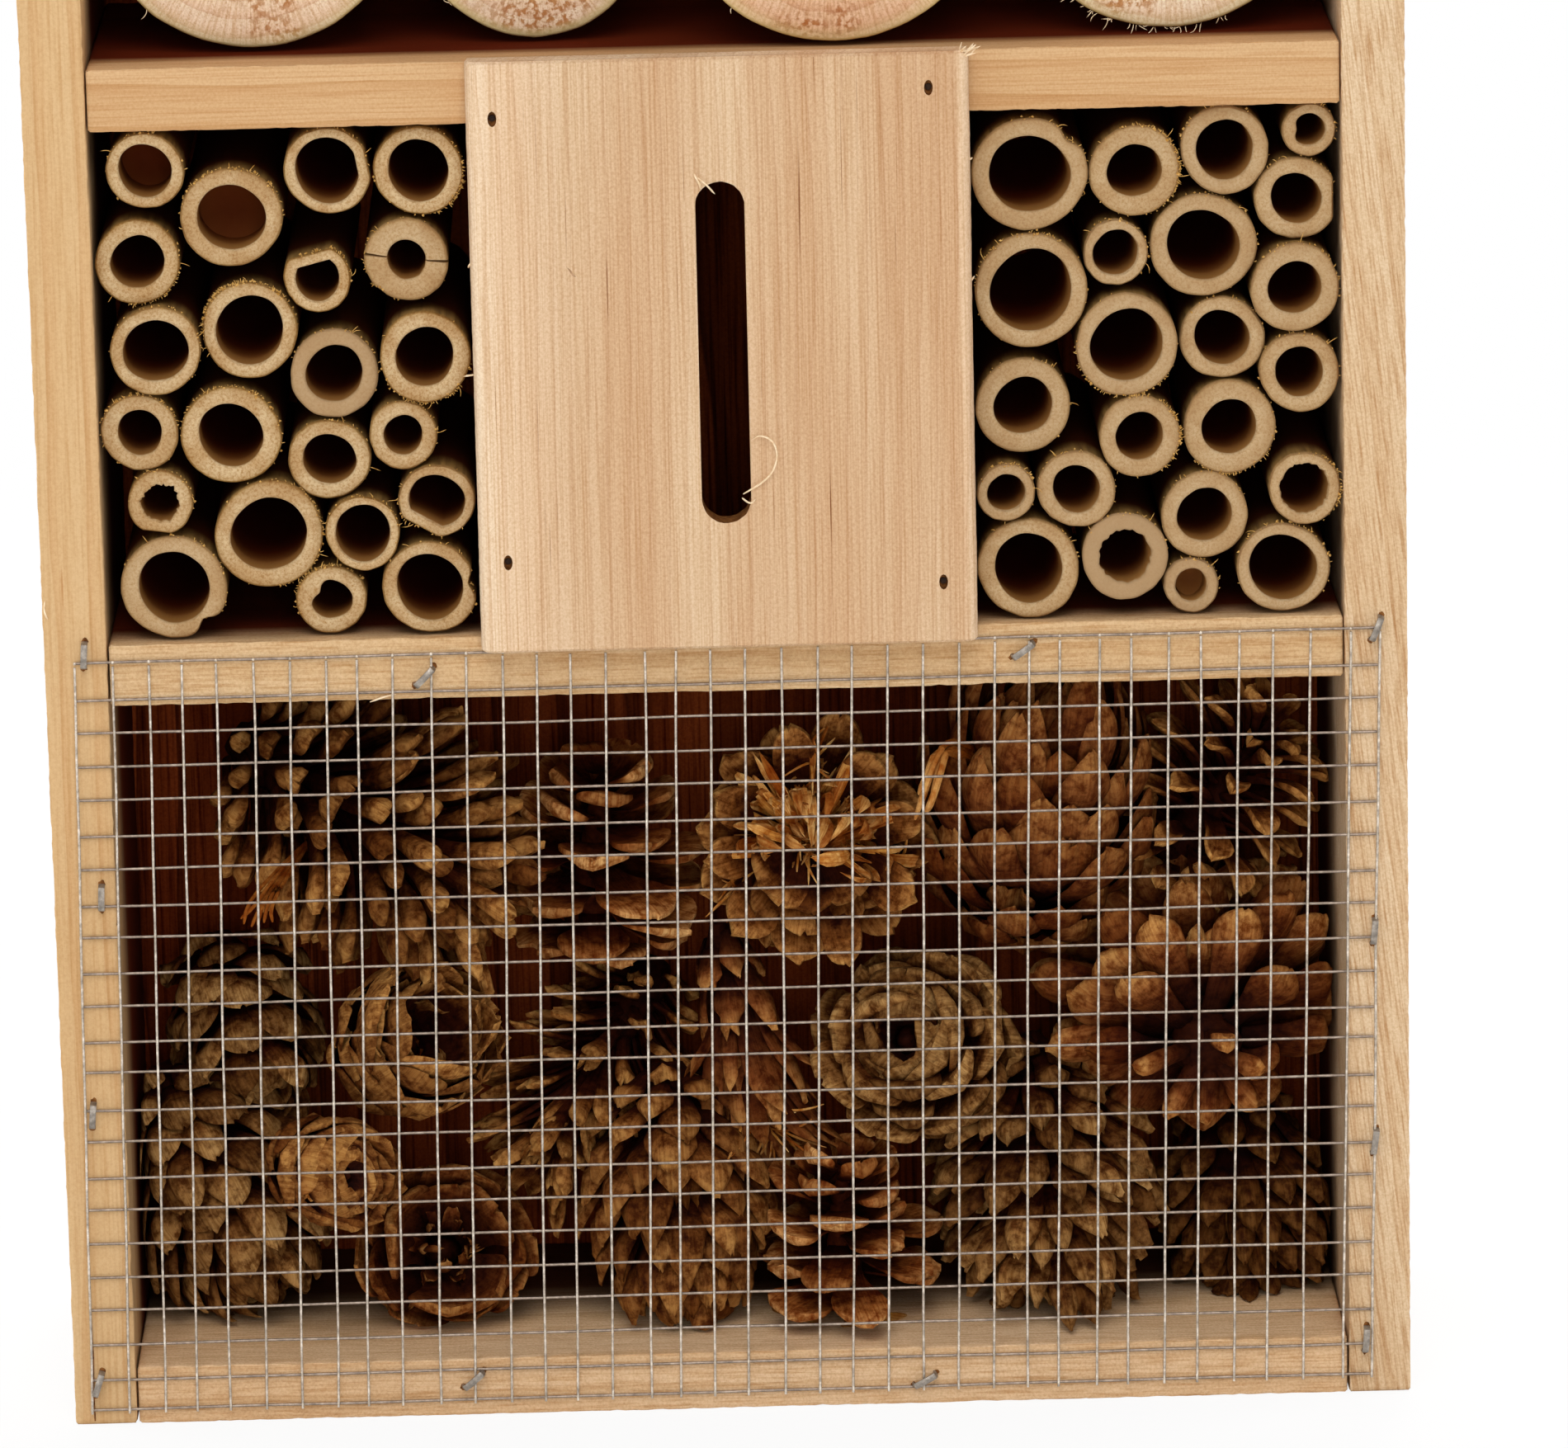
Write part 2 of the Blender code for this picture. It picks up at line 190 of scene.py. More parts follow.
def tubeFaces(rings, around, start=0):
    # the same, closed at both ends
    last = start + (rings - 1) * around
    return ringFaces(rings, around, start) + [tuple(range(end, end + around)) for end in (start, last)]


def moved(faces, start):
    return [tuple(start + k for k in face) for face in faces]


def strandMesh(paths, thick, taper=(0.35, 0.1), sides=4, start=0):
    # a thin tapered thread along each path
    points, faces = [], []
    for path in paths:
        path = np.asarray(path, float)
        run = unit(np.gradient(path, axis=0))
        side = unit(np.cross(run, (0.31, 0.87, 0.38)))  # across a way that no path takes
        lift = np.cross(run, side)
        faces += tubeFaces(len(path), sides, start + len(points))
        for k, spot in enumerate(path):
            part = k / (len(path) - 1)
            radius = thick / 2 * min(1, taper[0] + 4 * part, taper[1] + 3 * (1 - part))
            points += [spot + radius * (math.cos(a) * side[k] + math.sin(a) * lift[k]) for a in turns(sides)]
    return points, faces


def hairPath(rng, start, heading, length, bend, steps=6):
    # a fibre that leaves start along heading and bends at random
    heading = unit(np.array(heading, float))
    turn = np.array([rng.uniform(-1, 1) for k in range(3)]) * bend
    path = [np.array(start, float)]
    for k in range(steps):
        heading = unit(heading + turn / steps)
        path.append(path[-1] + heading * length / steps)
    return path


# materials

white = "#FFFFFF"
blended = {"data_type": "RGBA"}
multiplied = {"data_type": "RGBA", "blend_type": "MULTIPLY"}


def tinted(tree, colour, pattern, stops, share=1.0):
    # multiplies a colour by the tones that a pattern's values stand for
    tones = addNode(tree, "ValToRGB", {0: pattern}, stops)
    return addNode(tree, "Mix", {0: share, 6: colour, 7: tones}, **multiplied)


def growthRings(tree, reach, sway, look):
    # tones by the distance from the pith, swaying by a few mm
    swung = addNode(tree, "Math", {0: sway, 1: look["sway"], 2: reach}, operation="MULTIPLY_ADD")
    count = addNode(tree, "Math", {0: swung, 1: look["ringWidth"]}, operation="DIVIDE")
    ring = addNode(tree, "Math", {0: count}, operation="FRACT")
    return addNode(tree, "ValToRGB", {0: ring}, look["rings"])


def ringTones(*codes, late=(0.5, 0.88, 0.97)):
    # early wood first, the dark line of late wood last, and back to early wood
    return [*zip((0.0, *late), codes), (1.0, codes[0])]


def dress(tree, shader, colour, height=None, strength=0.5, deep=0.1):
    # gives the shader its colour, and a bump of so many mm
    plug(tree, colour, shader.inputs["Base Color"])
    if height:
        bump = addNode(tree, "Bump", {"Height": height, "Strength": strength, "Distance": deep * mm})
        plug(tree, bump, shader.inputs["Normal"])


# Fir, sawn or planed: pale tan with faint growth lines along the board and a short fuzzy nap where sawn
def firMaterial(name, look):
    made, tree, shader = freshMaterial(name, look["roughness"], sheen=look["sheen"])
    grain = addNode(tree, "Attribute", attribute_name="grain").outputs["Vector"]
    tintAndPaintedLightShare = addNode(tree, "Attribute", attribute_name="stain").outputs["Fac"]
    # growth rings, which sway slowly and taper a little along the board
    sway = addNode(tree, "TexNoise", {"Vector": grain}, lumps=(110, 35, 35))
    fromPith = addNode(tree, "VectorMath", {0: grain, 1: (0, *look["pith"])}, operation="SUBTRACT")
    flat = addNode(tree, "VectorMath", {0: fromPith, 1: (0.012, 1, 1)}, operation="MULTIPLY")
    colour = growthRings(tree, addNode(tree, "VectorMath", {0: flat}, operation="LENGTH"), sway, look)
    # broad creamy and pinkish bands
    band = addNode(tree, "TexNoise", {"Vector": grain, "Detail": 1}, lumps=(160, 13, 13))
    colour = tinted(tree, colour, band, [(0.32, look["bandDark"]), (0.68, white)])
    # fibres about 0.5 mm wide and 10 to 40 mm long
    fibreSize = (look["fibreLong"], look["fibreWide"], look["fibreWide"])
    fibre = addNode(tree, "TexNoise", {"Vector": grain, "Detail": 3, "Roughness": 0.6}, lumps=fibreSize)
    colour = tinted(tree, colour, fibre, [(0.30, look["fibreDark"]), (0.55, white)])
    # resin lines, thin and few
    resin = addNode(tree, "TexNoise", {"Vector": grain}, lumps=(45, look["resinWide"], look["resinWide"]))
    colour = tinted(tree, colour, resin, [(look["resin"], white), (look["resin"] + 0.07, look["resinDark"])])
    # nap of the saw, 0.5 mm: finer in the wood, drawn this coarse so that it shows
    nap = addNode(tree, "TexNoise", {"Vector": grain, "Detail": 3, "Roughness": 0.7}, lumps=0.5)
    colour = tinted(tree, colour, nap, [(0.3, look["napDark"]), (0.62, white)])
    # painted shade: the insides darken towards the back of the bays in this colour; on the butterfly panel
    # the same mark gives a pink tint
    colour = addNode(tree, "Mix", {0: tintAndPaintedLightShare, 6: colour, 7: hexLinear(look["stain"])}, **multiplied)
    height = addNode(tree, "Math", {0: nap, 1: look["napHigh"], 2: fibre}, operation="MULTIPLY_ADD")
    dress(tree, shader, colour, height, look["bump"], 0.12)
    return made


sawnLook = {
    "roughness": 0.8, "sheen": 0.07, "bump": 0.4, "pith": (30, -34), "sway": 7, "ringWidth": 6.5,
    "rings": ringTones("#D7B78C", "#D6B589", "#D3AF82", "#CDA779", late=(0.55, 0.86, 0.96)),
    "bandDark": "#F6F0E8", "fibreLong": 22, "fibreWide": 0.6, "fibreDark": "#F1E8DC",
    "resin": 0.76, "resinDark": "#DDBB97", "resinWide": 1.1, "napDark": "#F4EEE6", "napHigh": 0.8,
    # colour of the painted shade inside the bays
    "stain": "#703217",
}
roughLook = dict(
    sawnLook, rings=ringTones("#E3CBAB", "#E1C8A7", "#DCC09D", "#D6B792"), roughness=0.85, bump=0.8,
    fibreLong=10, fibreWide=0.42, fibreDark="#DCC6AE", napDark="#EADFD2", napHigh=1.3)
tanLook = dict(roughLook, rings=ringTones("#DEC19A", "#DCBE96", "#D6B68C", "#D2B085"),
               fibreLong=9, fibreDark="#E6D7C4")
honeyLook = dict(tanLook, rings=ringTones("#D4B086", "#D2AD82", "#CCA478", "#C69D6F"), bump=0.5,
                 fibreLong=24, fibreDark="#EFE2D2", napDark="#F1E8DC")
# paler all over for the bottom board, whose front face is darkened back: its top is left lighter as painted
# light
litTopLook = dict(tanLook, rings=ringTones("#FBDAB2", "#F9D7AE", "#F3CFA4", "#EEC89C"), stain="#4A2C1A")
planedLook = dict(
    sawnLook, rings=ringTones("#F1DFC5", "#F0DDC2", "#ECD7BB", "#E5CDB0", late=(0.6, 0.86, 0.95)),
    roughness=0.6, bump=0.3, pith=(-320, 60), sway=9, ringWidth=3.1, bandDark="#F0E3D8",
    fibreLong=42, fibreWide=0.4, fibreDark="#E9DBCB", resin=0.70, resinDark="#A98463", resinWide=0.5,
    napDark="#EADFD2", napHigh=0.9, stain="#E9DDD1")
stainLook = dict(
    sawnLook, rings=ringTones("#A04C22", "#93431B", "#763413", "#5C260D", late=(0.5, 0.9, 0.97)),
    sheen=0.03, bump=0.5, pith=(20, 160), ringWidth=6.0, bandDark="#C9B4A6",
    fibreLong=30, fibreWide=0.8, fibreDark="#8F6A55", resin=0.72, resinDark="#4A2A18", napDark="#D8C8BC")
sawnFir = firMaterial("sawn fir", sawnLook)
roughFir = firMaterial("rough sawn fir", roughLook)
tanFir = firMaterial("tan sawn fir", tanLook)
litTopFir = firMaterial("pale sawn fir", litTopLook)
honeyFir = firMaterial("honey sawn fir", honeyLook)
planedFir = firMaterial("planed fir", planedLook)
stainedPly = firMaterial("dark stained plywood", stainLook)


# Bamboo cut with a fine saw: khaki wall with a fine speckle, a yellow rim, a darker skin and a brown lining;
# the skin is darkened partly as painted shade, and the lining's darkening inwards is painted shade
def bambooMaterial(name, look):
    made, tree, shader = freshMaterial(name, 0.7, sheen=0.04)
    cane = addNode(tree, "Attribute", attribute_name="cane").outputs["Vector"]
    dust = addNode(tree, "Attribute", attribute_name="shade").outputs["Fac"]
    parts = addNode(tree, "SeparateXYZ", {0: cane}).outputs
    wall, depth = parts[0], parts[2]  # 0 in the bore to 1 on the skin, and mm behind the cut
    place = addNode(tree, "NewGeometry")
    face = addNode(tree, "ValToRGB", {0: wall}, look["face"])
    # vessel speckle, 0.5 mm: about twice the real spacing so that it shows
    speckle = addNode(tree, "TexNoise", {"Vector": place, "Detail": 3, "Roughness": 0.75}, lumps=0.5 * mm)
    face = tinted(tree, face, speckle, [(0.30, look["speckle"]), (0.58, white)])
    # paler and darker patches, 5 mm
    patch = addNode(tree, "TexNoise", {"Vector": place}, lumps=5 * mm)
    face = tinted(tree, face, patch, [(0.35, look["patch"]), (0.6, white)])
    face = addNode(tree, "Mix", {0: dust, 6: face, 7: hexLinear(look["grey"])}, **blended)
    # painted shade: the lining darkens inwards, and the skin darkens behind the front
    inwards = addNode(tree, "MapRange", {0: depth, 2: look["liningDeep"]})
    lining = addNode(tree, "ValToRGB", {0: inwards}, look["lining"])
    # fibres of the skin, 1.2 mm wide and 18 mm long
    streaks = addNode(tree, "TexNoise", {"Vector": cane, "Detail": 3}, lumps=(0, 1.2, 18))
    skin = addNode(tree, "ValToRGB", {0: streaks}, look["skin"])
    shaded = addNode(tree, "MapRange", {0: depth, 1: look["agedFrom"], 2: look["agedAt"]})
    skin = addNode(tree, "Mix", {0: shaded, 6: skin, 7: hexLinear(look["aged"])}, **blended)
    side = addNode(tree, "Mix", {0: wall, 6: lining, 7: skin}, **blended)
    behind = addNode(tree, "MapRange", {0: depth, 1: 0.35, 2: 0.9})  # past the sawn face
    dress(tree, shader, addNode(tree, "Mix", {0: behind, 6: face, 7: side}, **blended), speckle, 0.5, 0.1)
    return made


bambooLook = {
    "face": [(0.0, "#D5BC93"), (0.1, "#CEB48C"), (0.5, "#C8AD85"), (0.86, "#BB9D71"), (0.95, "#A78450"),
             (1.0, "#8A6A3A")],
    # the skin colours are partly painted shade; the deep skin colour and the lining's darker stops are
    # painted shade
    "speckle": "#CFB48E", "patch": "#E9DCCB", "grey": "#A58662", "aged": "#401A08",
    "lining": [(0.0, "#B48A54"), (0.08, "#966A38"), (0.26, "#744620"), (0.55, "#5A2409"), (1.0, "#521604")],
    "skin": [(0.35, "#6E5330"), (0.6, "#92713F")],
    "liningDeep": 24.0, "agedFrom": 1.0, "agedAt": 9.0,  # mm behind the cut
}
cutBamboo = bambooMaterial("sawn bamboo", bambooLook)


# End grain of a debarked log: pale, speckled by the saw, with faint rings and a yellowish rim
def logMaterial(name, look):
    made, tree, shader = freshMaterial(name, 0.8, sheen=0.15)
    trunk = addNode(tree, "Attribute", attribute_name="trunk").outputs["Vector"]
    shade = addNode(tree, "Attribute", attribute_name="shade").outputs["Fac"]
    rim = addNode(tree, "Attribute", attribute_name="rim").outputs["Fac"]
    parts = addNode(tree, "SeparateXYZ", {0: trunk}).outputs
    radius, depth = parts[0], parts[2]
    place = addNode(tree, "NewGeometry")
    colour = growthRings(tree, radius, addNode(tree, "TexNoise", {"Vector": place}, lumps=14 * mm), look)
    # saw dust and torn pores, 0.45 mm: finer in the wood, drawn this coarse so that they show
    speckle = addNode(tree, "TexNoise", {"Vector": place, "Detail": 4, "Roughness": 0.8}, lumps=0.45 * mm)
    colour = tinted(tree, colour, speckle, [(0.33, look["speckle"]), (0.55, white)])
    # rays from the pith, 0.6 mm apart
    ray = addNode(tree, "TexNoise", {"Vector": trunk}, lumps=(7, 0.6, 0))
    colour = tinted(tree, colour, ray, [(0.36, look["ray"]), (0.56, white)])
    # grainy patches where the saw tore
    patch = addNode(tree, "TexNoise", {"Vector": place}, lumps=11 * mm)
    torn = addNode(tree, "MapRange", {0: patch, 1: 0.5, 2: 0.62})
    grains = addNode(tree, "TexNoise", {"Vector": place}, lumps=1.1 * mm)
    colour = tinted(tree, colour, grains, [(0.42, look["torn"]), (0.54, white)], torn)
    colour = addNode(tree, "Mix", {0: shade, 6: colour, 7: hexLinear(look["pink"])}, **multiplied)
    colour = addNode(tree, "Mix", {0: rim, 6: colour, 7: hexLinear(look["bast"])}, **blended)
    # fibres of the side, 1 mm wide and 14 mm long
    streaks = addNode(tree, "TexNoise", {"Vector": trunk, "Detail": 4}, lumps=(0, 1, 14))
    side = addNode(tree, "ValToRGB", {0: streaks}, look["side"])
    behind = addNode(tree, "MapRange", {0: depth, 1: 0.3, 2: 0.9})  # past the sawn face
    dress(tree, shader, addNode(tree, "Mix", {0: behind, 6: colour, 7: side}, **blended), speckle, 0.8, 0.25)
    return made


logLook = {
    "rings": ringTones("#FAE8D0", "#F8E2C8", "#F3D8BC", "#EBCCAF", late=(0.45, 0.8, 0.94)),
    "ringWidth": 3.6, "sway": 3.0, "speckle": "#E2CFB8", "ray": "#EEE0D0", "torn": "#CFA67C",
    "pink": "#EBD4C4", "bast": "#DCC68A", "side": [(0.3, "#A9793F"), (0.55, "#C89B5E"), (0.75, "#D8B27A")],
}
logEnd = logMaterial("sawn log", logLook)


# Cone scales: dark red-brown at the root, near black there partly as painted shade deep in the cone, lighter
# and weathered grey at the lip, with fine lengthwise streaks
def coneMaterial(name, look):
    made, tree, shader = freshMaterial(name, 0.75, sheen=0.05)
    scale = addNode(tree, "Attribute", attribute_name="scale").outputs["Vector"]
    parts = addNode(tree, "SeparateXYZ", {0: scale}).outputs
    share, chance = parts[0], parts[2]  # 0 at the root to 1 at the tip, and each scale's own age
    place = addNode(tree, "NewGeometry")
    # weathered blots, 2.2 mm, which also blur the grade from root to tip
    mottle = addNode(tree, "TexNoise", {"Vector": place, "Detail": 4, "Roughness": 0.65}, lumps=2.2 * mm)
    along = addNode(tree, "Math", {0: mottle, 1: look["blur"], 2: share}, operation="MULTIPLY_ADD")
    along = addNode(tree, "Math", {0: along, 1: look["blur"] / 2}, operation="SUBTRACT")
    colour = addNode(tree, "ValToRGB", {0: along}, look["grade"])
    # streaks 0.45 mm wide, and other ones on each scale
    streakSize = (1 / 1.6, 0.45, 1 / 9)
    streak = addNode(tree, "TexNoise", {"Vector": scale, "Detail": 3, "Roughness": 0.6}, lumps=streakSize)
    colour = tinted(tree, colour, streak, [(0.32, look["streak"]), (0.6, white)])
    colour = tinted(tree, colour, mottle, [(0.36, look["blot"]), (0.58, white)])
    colour = tinted(tree, colour, chance, [(0.0, look["dull"]), (0.8, white)])
    height = addNode(tree, "Math", {0: streak, 1: mottle}, operation="ADD")
    dress(tree, shader, colour, height, 0.7, 0.25)
    return made


# the near-black roots of these grades are partly painted shade deep in the cones
weatheredLook = {
    "blur": 0.3, "streak": "#CDB79E", "dull": "#957A62", "blot": "#A0846A",
    "grade": [(0.0, "#2A0A04"), (0.5, "#461C09"), (0.67, "#855022"), (0.82, "#B67F44"), (1.0, "#C69352")],
}
ripeLook = {
    "blur": 0.22, "streak": "#DABFA6", "dull": "#9C7A60", "blot": "#AA8766",
    "grade": [(0.0, "#220A04"), (0.4, "#461E0A"), (0.68, "#7E4721"), (0.88, "#AE7640"), (1.0, "#CA9656")],
}
freshLook = {
    "blur": 0.3, "streak": "#CDAA8A", "dull": "#A98A6C", "blot": "#B08C68",
    "grade": [(0.0, "#2C0C05"), (0.4, "#622D0F"), (0.66, "#AC6C34"), (0.86, "#D79E60"), (1.0, "#E8B878")],
}
greyLook = {
    "blur": 0.3, "streak": "#C4B094", "dull": "#927E68", "blot": "#9A826A",
    "grade": [(0.0, "#280A04"), (0.5, "#481C0A"), (0.66, "#7E4C22"), (0.83, "#AF8049"), (1.0, "#C4985E")],
}
fibreLook = {
    "blur": 0.3, "streak": "#C2945F", "dull": "#B78A5E", "blot": "#D2AA78",
    "grade": [(0.0, "#8E4E1C"), (0.5, "#D89A48"), (1.0, "#F6CE86")],
}
coneMaterials = {
    "weathered": coneMaterial("weathered cone scale", weatheredLook),
    "ripe": coneMaterial("ripe cone scale", ripeLook),
    "fresh": coneMaterial("fresh cone scale", freshLook),
    "grey": coneMaterial("grey cone scale", greyLook),
}
coneFibre = coneMaterial("torn cone fibre", fibreLook)


def mottledMaterial(name, look, tones):
    made, tree, shader = freshMaterial(name, look["roughness"], look["metallic"], look["sheen"])
    pattern = {"Vector": addNode(tree, "NewGeometry"), "Detail": 3, "Roughness": look["patchy"]}
    mottle = addNode(tree, "TexNoise", pattern, lumps=look["lump"] * mm)
    colour = addNode(tree, "ValToRGB", {0: mottle}, tones)
    dress(tree, shader, colour, mottle if look["bumpy"] else None, 0.5, 0.08)
    return made


# Zinc on welded steel wire: light dull grey, mottled by the dip in spots of 1.4 mm
# Staples are a darker flat steel with the same spots, and nails have rusted to a dull dark brown
zincLook = {"roughness": 0.5, "metallic": 0.85, "sheen": 0.5, "lump": 1.4, "patchy": 0.7, "bumpy": True}
# the cross wires get a darker copy of the same zinc: painted shade, as they lie behind the uprights
shadedZincLook = dict(zincLook, roughness=0.55)
rustLook = dict(zincLook, roughness=0.9, metallic=0.2)
zincBright = mottledMaterial("hot dipped zinc wire", zincLook,
                             [(0.3, "#94897C"), (0.5, "#BDB1A2"), (0.72, "#EAE0D2")])
zincShadedCopy = mottledMaterial("hot dipped zinc cross wire", shadedZincLook,
                           [(0.3, "#72655A"), (0.5, "#908174"), (0.72, "#AFA091")])
stapleSteel = mottledMaterial("flat staple steel", zincLook,
                              [(0.3, "#6F675E"), (0.55, "#958C82"), (0.75, "#BAB1A5")])
nailSteel = mottledMaterial("rusty nail steel", rustLook, [(0.3, "#1E1008"), (0.7, "#3E2614")])
# Broken wood: dark where a nail or a staple crushed it, and dark as painted shade on the slot's walls and in
# the split; pale or golden where its fibres stand free
brokenLook = {"roughness": 0.85, "metallic": 0.0, "sheen": 0.07, "lump": 0.8, "patchy": 0.5, "bumpy": False}
bruiseAndShadeFir = mottledMaterial("bruised fir", brokenLook, [(0.35, "#5B3517"), (0.65, "#8C5A2E")])
paleFibre = mottledMaterial("pale fir splinter", brokenLook, [(0.35, "#E2C399"), (0.65, "#F3DEBE")])
goldFibre = mottledMaterial("frayed bamboo fibre", brokenLook, [(0.35, "#AE7F3A"), (0.65, "#DCB068")])
print("materials made")


# boards

standing = {"along": (0, 0, 1), "across": (0, 1, 0), "slot": "carcass"}
lying = {"along": (1, 0, 0), "across": (0, 1, 0), "slot": "carcass"}
# painted shade, darker deeper inside the bays: its share on the low and the high face, where it begins behind
# the front, and how many mm it takes
boards = {
    "leftSide": dict(standing, node="left_side_board", slope=-1, finish=sawnFir, stain=(1, 0, 8, 22)),
    "rightSide": dict(standing, node="right_side_board", slope=1, finish=roughFir,
                      stain=(0, 1, 20, 30), slant=-0.12),
    # the bottom board's paler top and darkened front face are painted light and shade
    "bottomBoard": dict(lying, node="bottom_board", finish=litTopFir, stain=(0, 1, 20, 24), soiled=0.205),
    "lowerShelf": dict(lying, node="lower_shelf", finish=tanFir, stain=(1, 1, 3, 5)),
    "upperShelf": dict(lying, node="upper_shelf", finish=honeyFir, stain=(1, 1, 5, 4)),
    "atticFloor": dict(lying, node="attic_floor", finish=sawnFir, stain=(1, 0, 0.5, 9)),
    "leftDivider": dict(standing, node="left_divider", finish=roughFir, stain=(1, 1, 1, 10)),
    "rightDivider": dict(standing, node="right_divider", finish=roughFir, stain=(1, 1, 1, 10)),
    "leftRoof": dict(lying, node="left_roof_board", along=(-1, 0, -1), finish=sawnFir, slot="roof"),
    "rightRoof": dict(lying, node="right_roof_board", along=(1, 0, -1), finish=sawnFir, slot="roof"),
}
sawing = {
    "arris": 0.35, "chip": 0.4, "wave": 0.09, "step": 1.4, "faceStep": 5.0,
    "inset": 0.45, "margin": 1.2, "beside": 0.9,  # of the rows of points next to an end and to an arris
}


def boardSection(width, thick, radii):
    # points round the board's section, each with its outward direction and how much of an arris it is
    section = []
    for corner, (right, top, turn) in enumerate(((0, 0, 180), (1, 0, 270), (1, 1, 0), (0, 1, 90))):
        radius = radii[corner]
        middle = (width - radius if right else radius, thick - radius if top else radius)
        bends = 4 if radius < 1 else 7
        for k in range(bends):
            angle = math.radians(turn + 90 * k / (bends - 1))
            way = (math.cos(angle), math.sin(angle))
            section.append((middle[0] + radius * way[0], middle[1] + radius * way[1], *way, 1.0))
        start = section[-1]
        side = (width, thick)[corner % 2] - radius - radii[(corner + 1) % 4]
        margin = sawing["beside"] / side
        runs = [margin, *np.linspace(0, 1, max(3, round(side / sawing["faceStep"])))[1:-1], 1 - margin]
        heading = math.radians(turn + 90)
        out = (math.cos(heading), math.sin(heading))
        for run in runs:
            edge = 0.25 if run in (runs[0], runs[-1]) else 0.0
            section.append((start[0] - out[1] * side * run, start[1] + out[0] * side * run, *out, edge))
    return section


def boardShape(look, seed, radii=(sawing["arris"],) * 4, chip=sawing["chip"]):
    along, across = Vector(look["along"]).normalized(), Vector(look["across"]).normalized()
    axes = np.array([along, across, along.cross(across)])
    local = nodePoints(look["node"]) @ axes.T
    low = local.min(0)
    long, width, thick = local.max(0) - low
    section = boardSection(width, thick, radii)
    slope, slant = look.get("slope", 0), look.get("slant", 0)
    shadeLowFace, shadeHighFace, shadeFrom, shadeSpan = look.get("stain", (0, 0, 0, 1))
    inset, margin = sawing["inset"], sawing["margin"]
    rings = [0.0, inset, *np.arange(margin, long - margin, sawing["step"]), long - inset, long]
    points, grain, stain = [], [], []
    for ring, a in enumerate(rings):
        drawn = inset if ring in (0, len(rings) - 1) else 0
        for k, (b, c, outB, outC, edge) in enumerate(section):
            end = long - c if slope < 0 else long - thick + c if slope > 0 else long
            reach = a / long * end
            pull = drawn + sawing["wave"] * ripple(reach / 22, b / 9, c / 9, seed)
            if edge:  # chips out of the arris
                rough = max(0, ripple(reach / 2.3, k // 3, 1.7, seed))
                rough += 0.8 * max(0, ripple(reach / 0.8, k // 3, 5.1, seed))
                pull += edge * chip * rough
            points.append((reach, b - outB * pull, c - outC * pull))
            # every board is cut from another place of the wood
            grain.append((reach + 137 * seed, b + 11.3 * (seed % 5), c + 7.7 * (seed % 7) + slant * reach))
            # painted shade: inner faces darken deeper inside the bays
            side = shadeLowFace if outC < -0.7 else shadeHighFace if outC > 0.7 else 0
            inside = side * smooth((b - shadeFrom) / shadeSpan)
            # painted shade on the bottom board's front face, by a set share
            stain.append(look.get("soiled", 0) if outB < -0.7 else inside)
    faces = tubeFaces(len(rings), len(section))
    return (np.array(points) + low) @ axes, faces, {"grain": grain, "stain": stain}


for seed, (name, look) in enumerate(boards.items(), 1):
    points, faces, marks = boardShape(look, seed)
    makePiece(name + "Board", points, faces, [look["finish"]], [look["node"]], marks)

# the gable and the back keep their solids' outlines
sheets = {
    "gableBoard": dict(node="gable_board", along=0, across=2, finish=sawnFir, slot="carcass", shift=420),
    "backPanel": dict(node="back_panel", along=2, across=0, finish=stainedPly, slot="back", shift=77),
}
for name, look in sheets.items():
    points = nodePoints(look["node"])
    faces = [tuple(face.vertices) for face in cadNodes[look["node"]].data.polygons]
    grain = points[:, [look["along"], look["across"], 1]] + (look["shift"], 0, 0)
    makePiece(name, points, faces, [look["finish"]], [look["node"]], {"grain": grain}, sharp=20)
print("boards made")


# butterfly panel

panel = {
    "node": "butterfly_panel", "along": (0, 0, 1), "across": (1, 0, 0), "seed": 3,
    "radii": (2.4, 2.4, 0.4, 0.4), "chip": 0.18, "sharp": 35, "grainShift": (700, 44, 0),
    "slotWide": 8.8, "slotHigh": 62.2, "slotFoot": 23.0, "slotWave": 0.12, "slotPoints": 72,
    "pits": ((-39.4, 243.0), (38.0, 246.8), (-38.8, 162.3), (39.2, 156.8)),
    "pitWide": 1.6, "pitHigh": 2.8, "pitDeep": 1.3,
    "nick": ((-26.8, 215.9), (-26.2, 215.5), (-25.3, 214.2), (-25.9, 214.4)), "nickDeep": 0.35,
    # the pale strip at the right edge is a painted highlight on its rounding
    "creamLeft": (6, 13), "creamRight": (1.8, 0.8),  # mm from that edge to where it ends, and how it fades
}


def prismBetween(outline, near, far):
    # an upright outline in x and z, carried from y = near to y = far
    return [(x, y, z) for y in (near, far) for x, z in outline], tubeFaces(2, len(outline))


def cutOut(piece, shapes):
    # takes each closed shape out of the piece's mesh
    cutters = [addObject("cutter", meshOf("cutter", *shape)) for shape in shapes]
    for cutter in cutters:
        cut = piece.modifiers.new("cut", "BOOLEAN")
        cut.operation, cut.solver, cut.object = "DIFFERENCE", "EXACT", cutter
    bpy.context.view_layer.update()
    cutMesh = bpy.data.meshes.new_from_object(piece.evaluated_get(bpy.context.evaluated_depsgraph_get()))
    piece.modifiers.clear()
    piece.data = cutMesh
    for cutter in cutters:
        bpy.data.objects.remove(cutter)


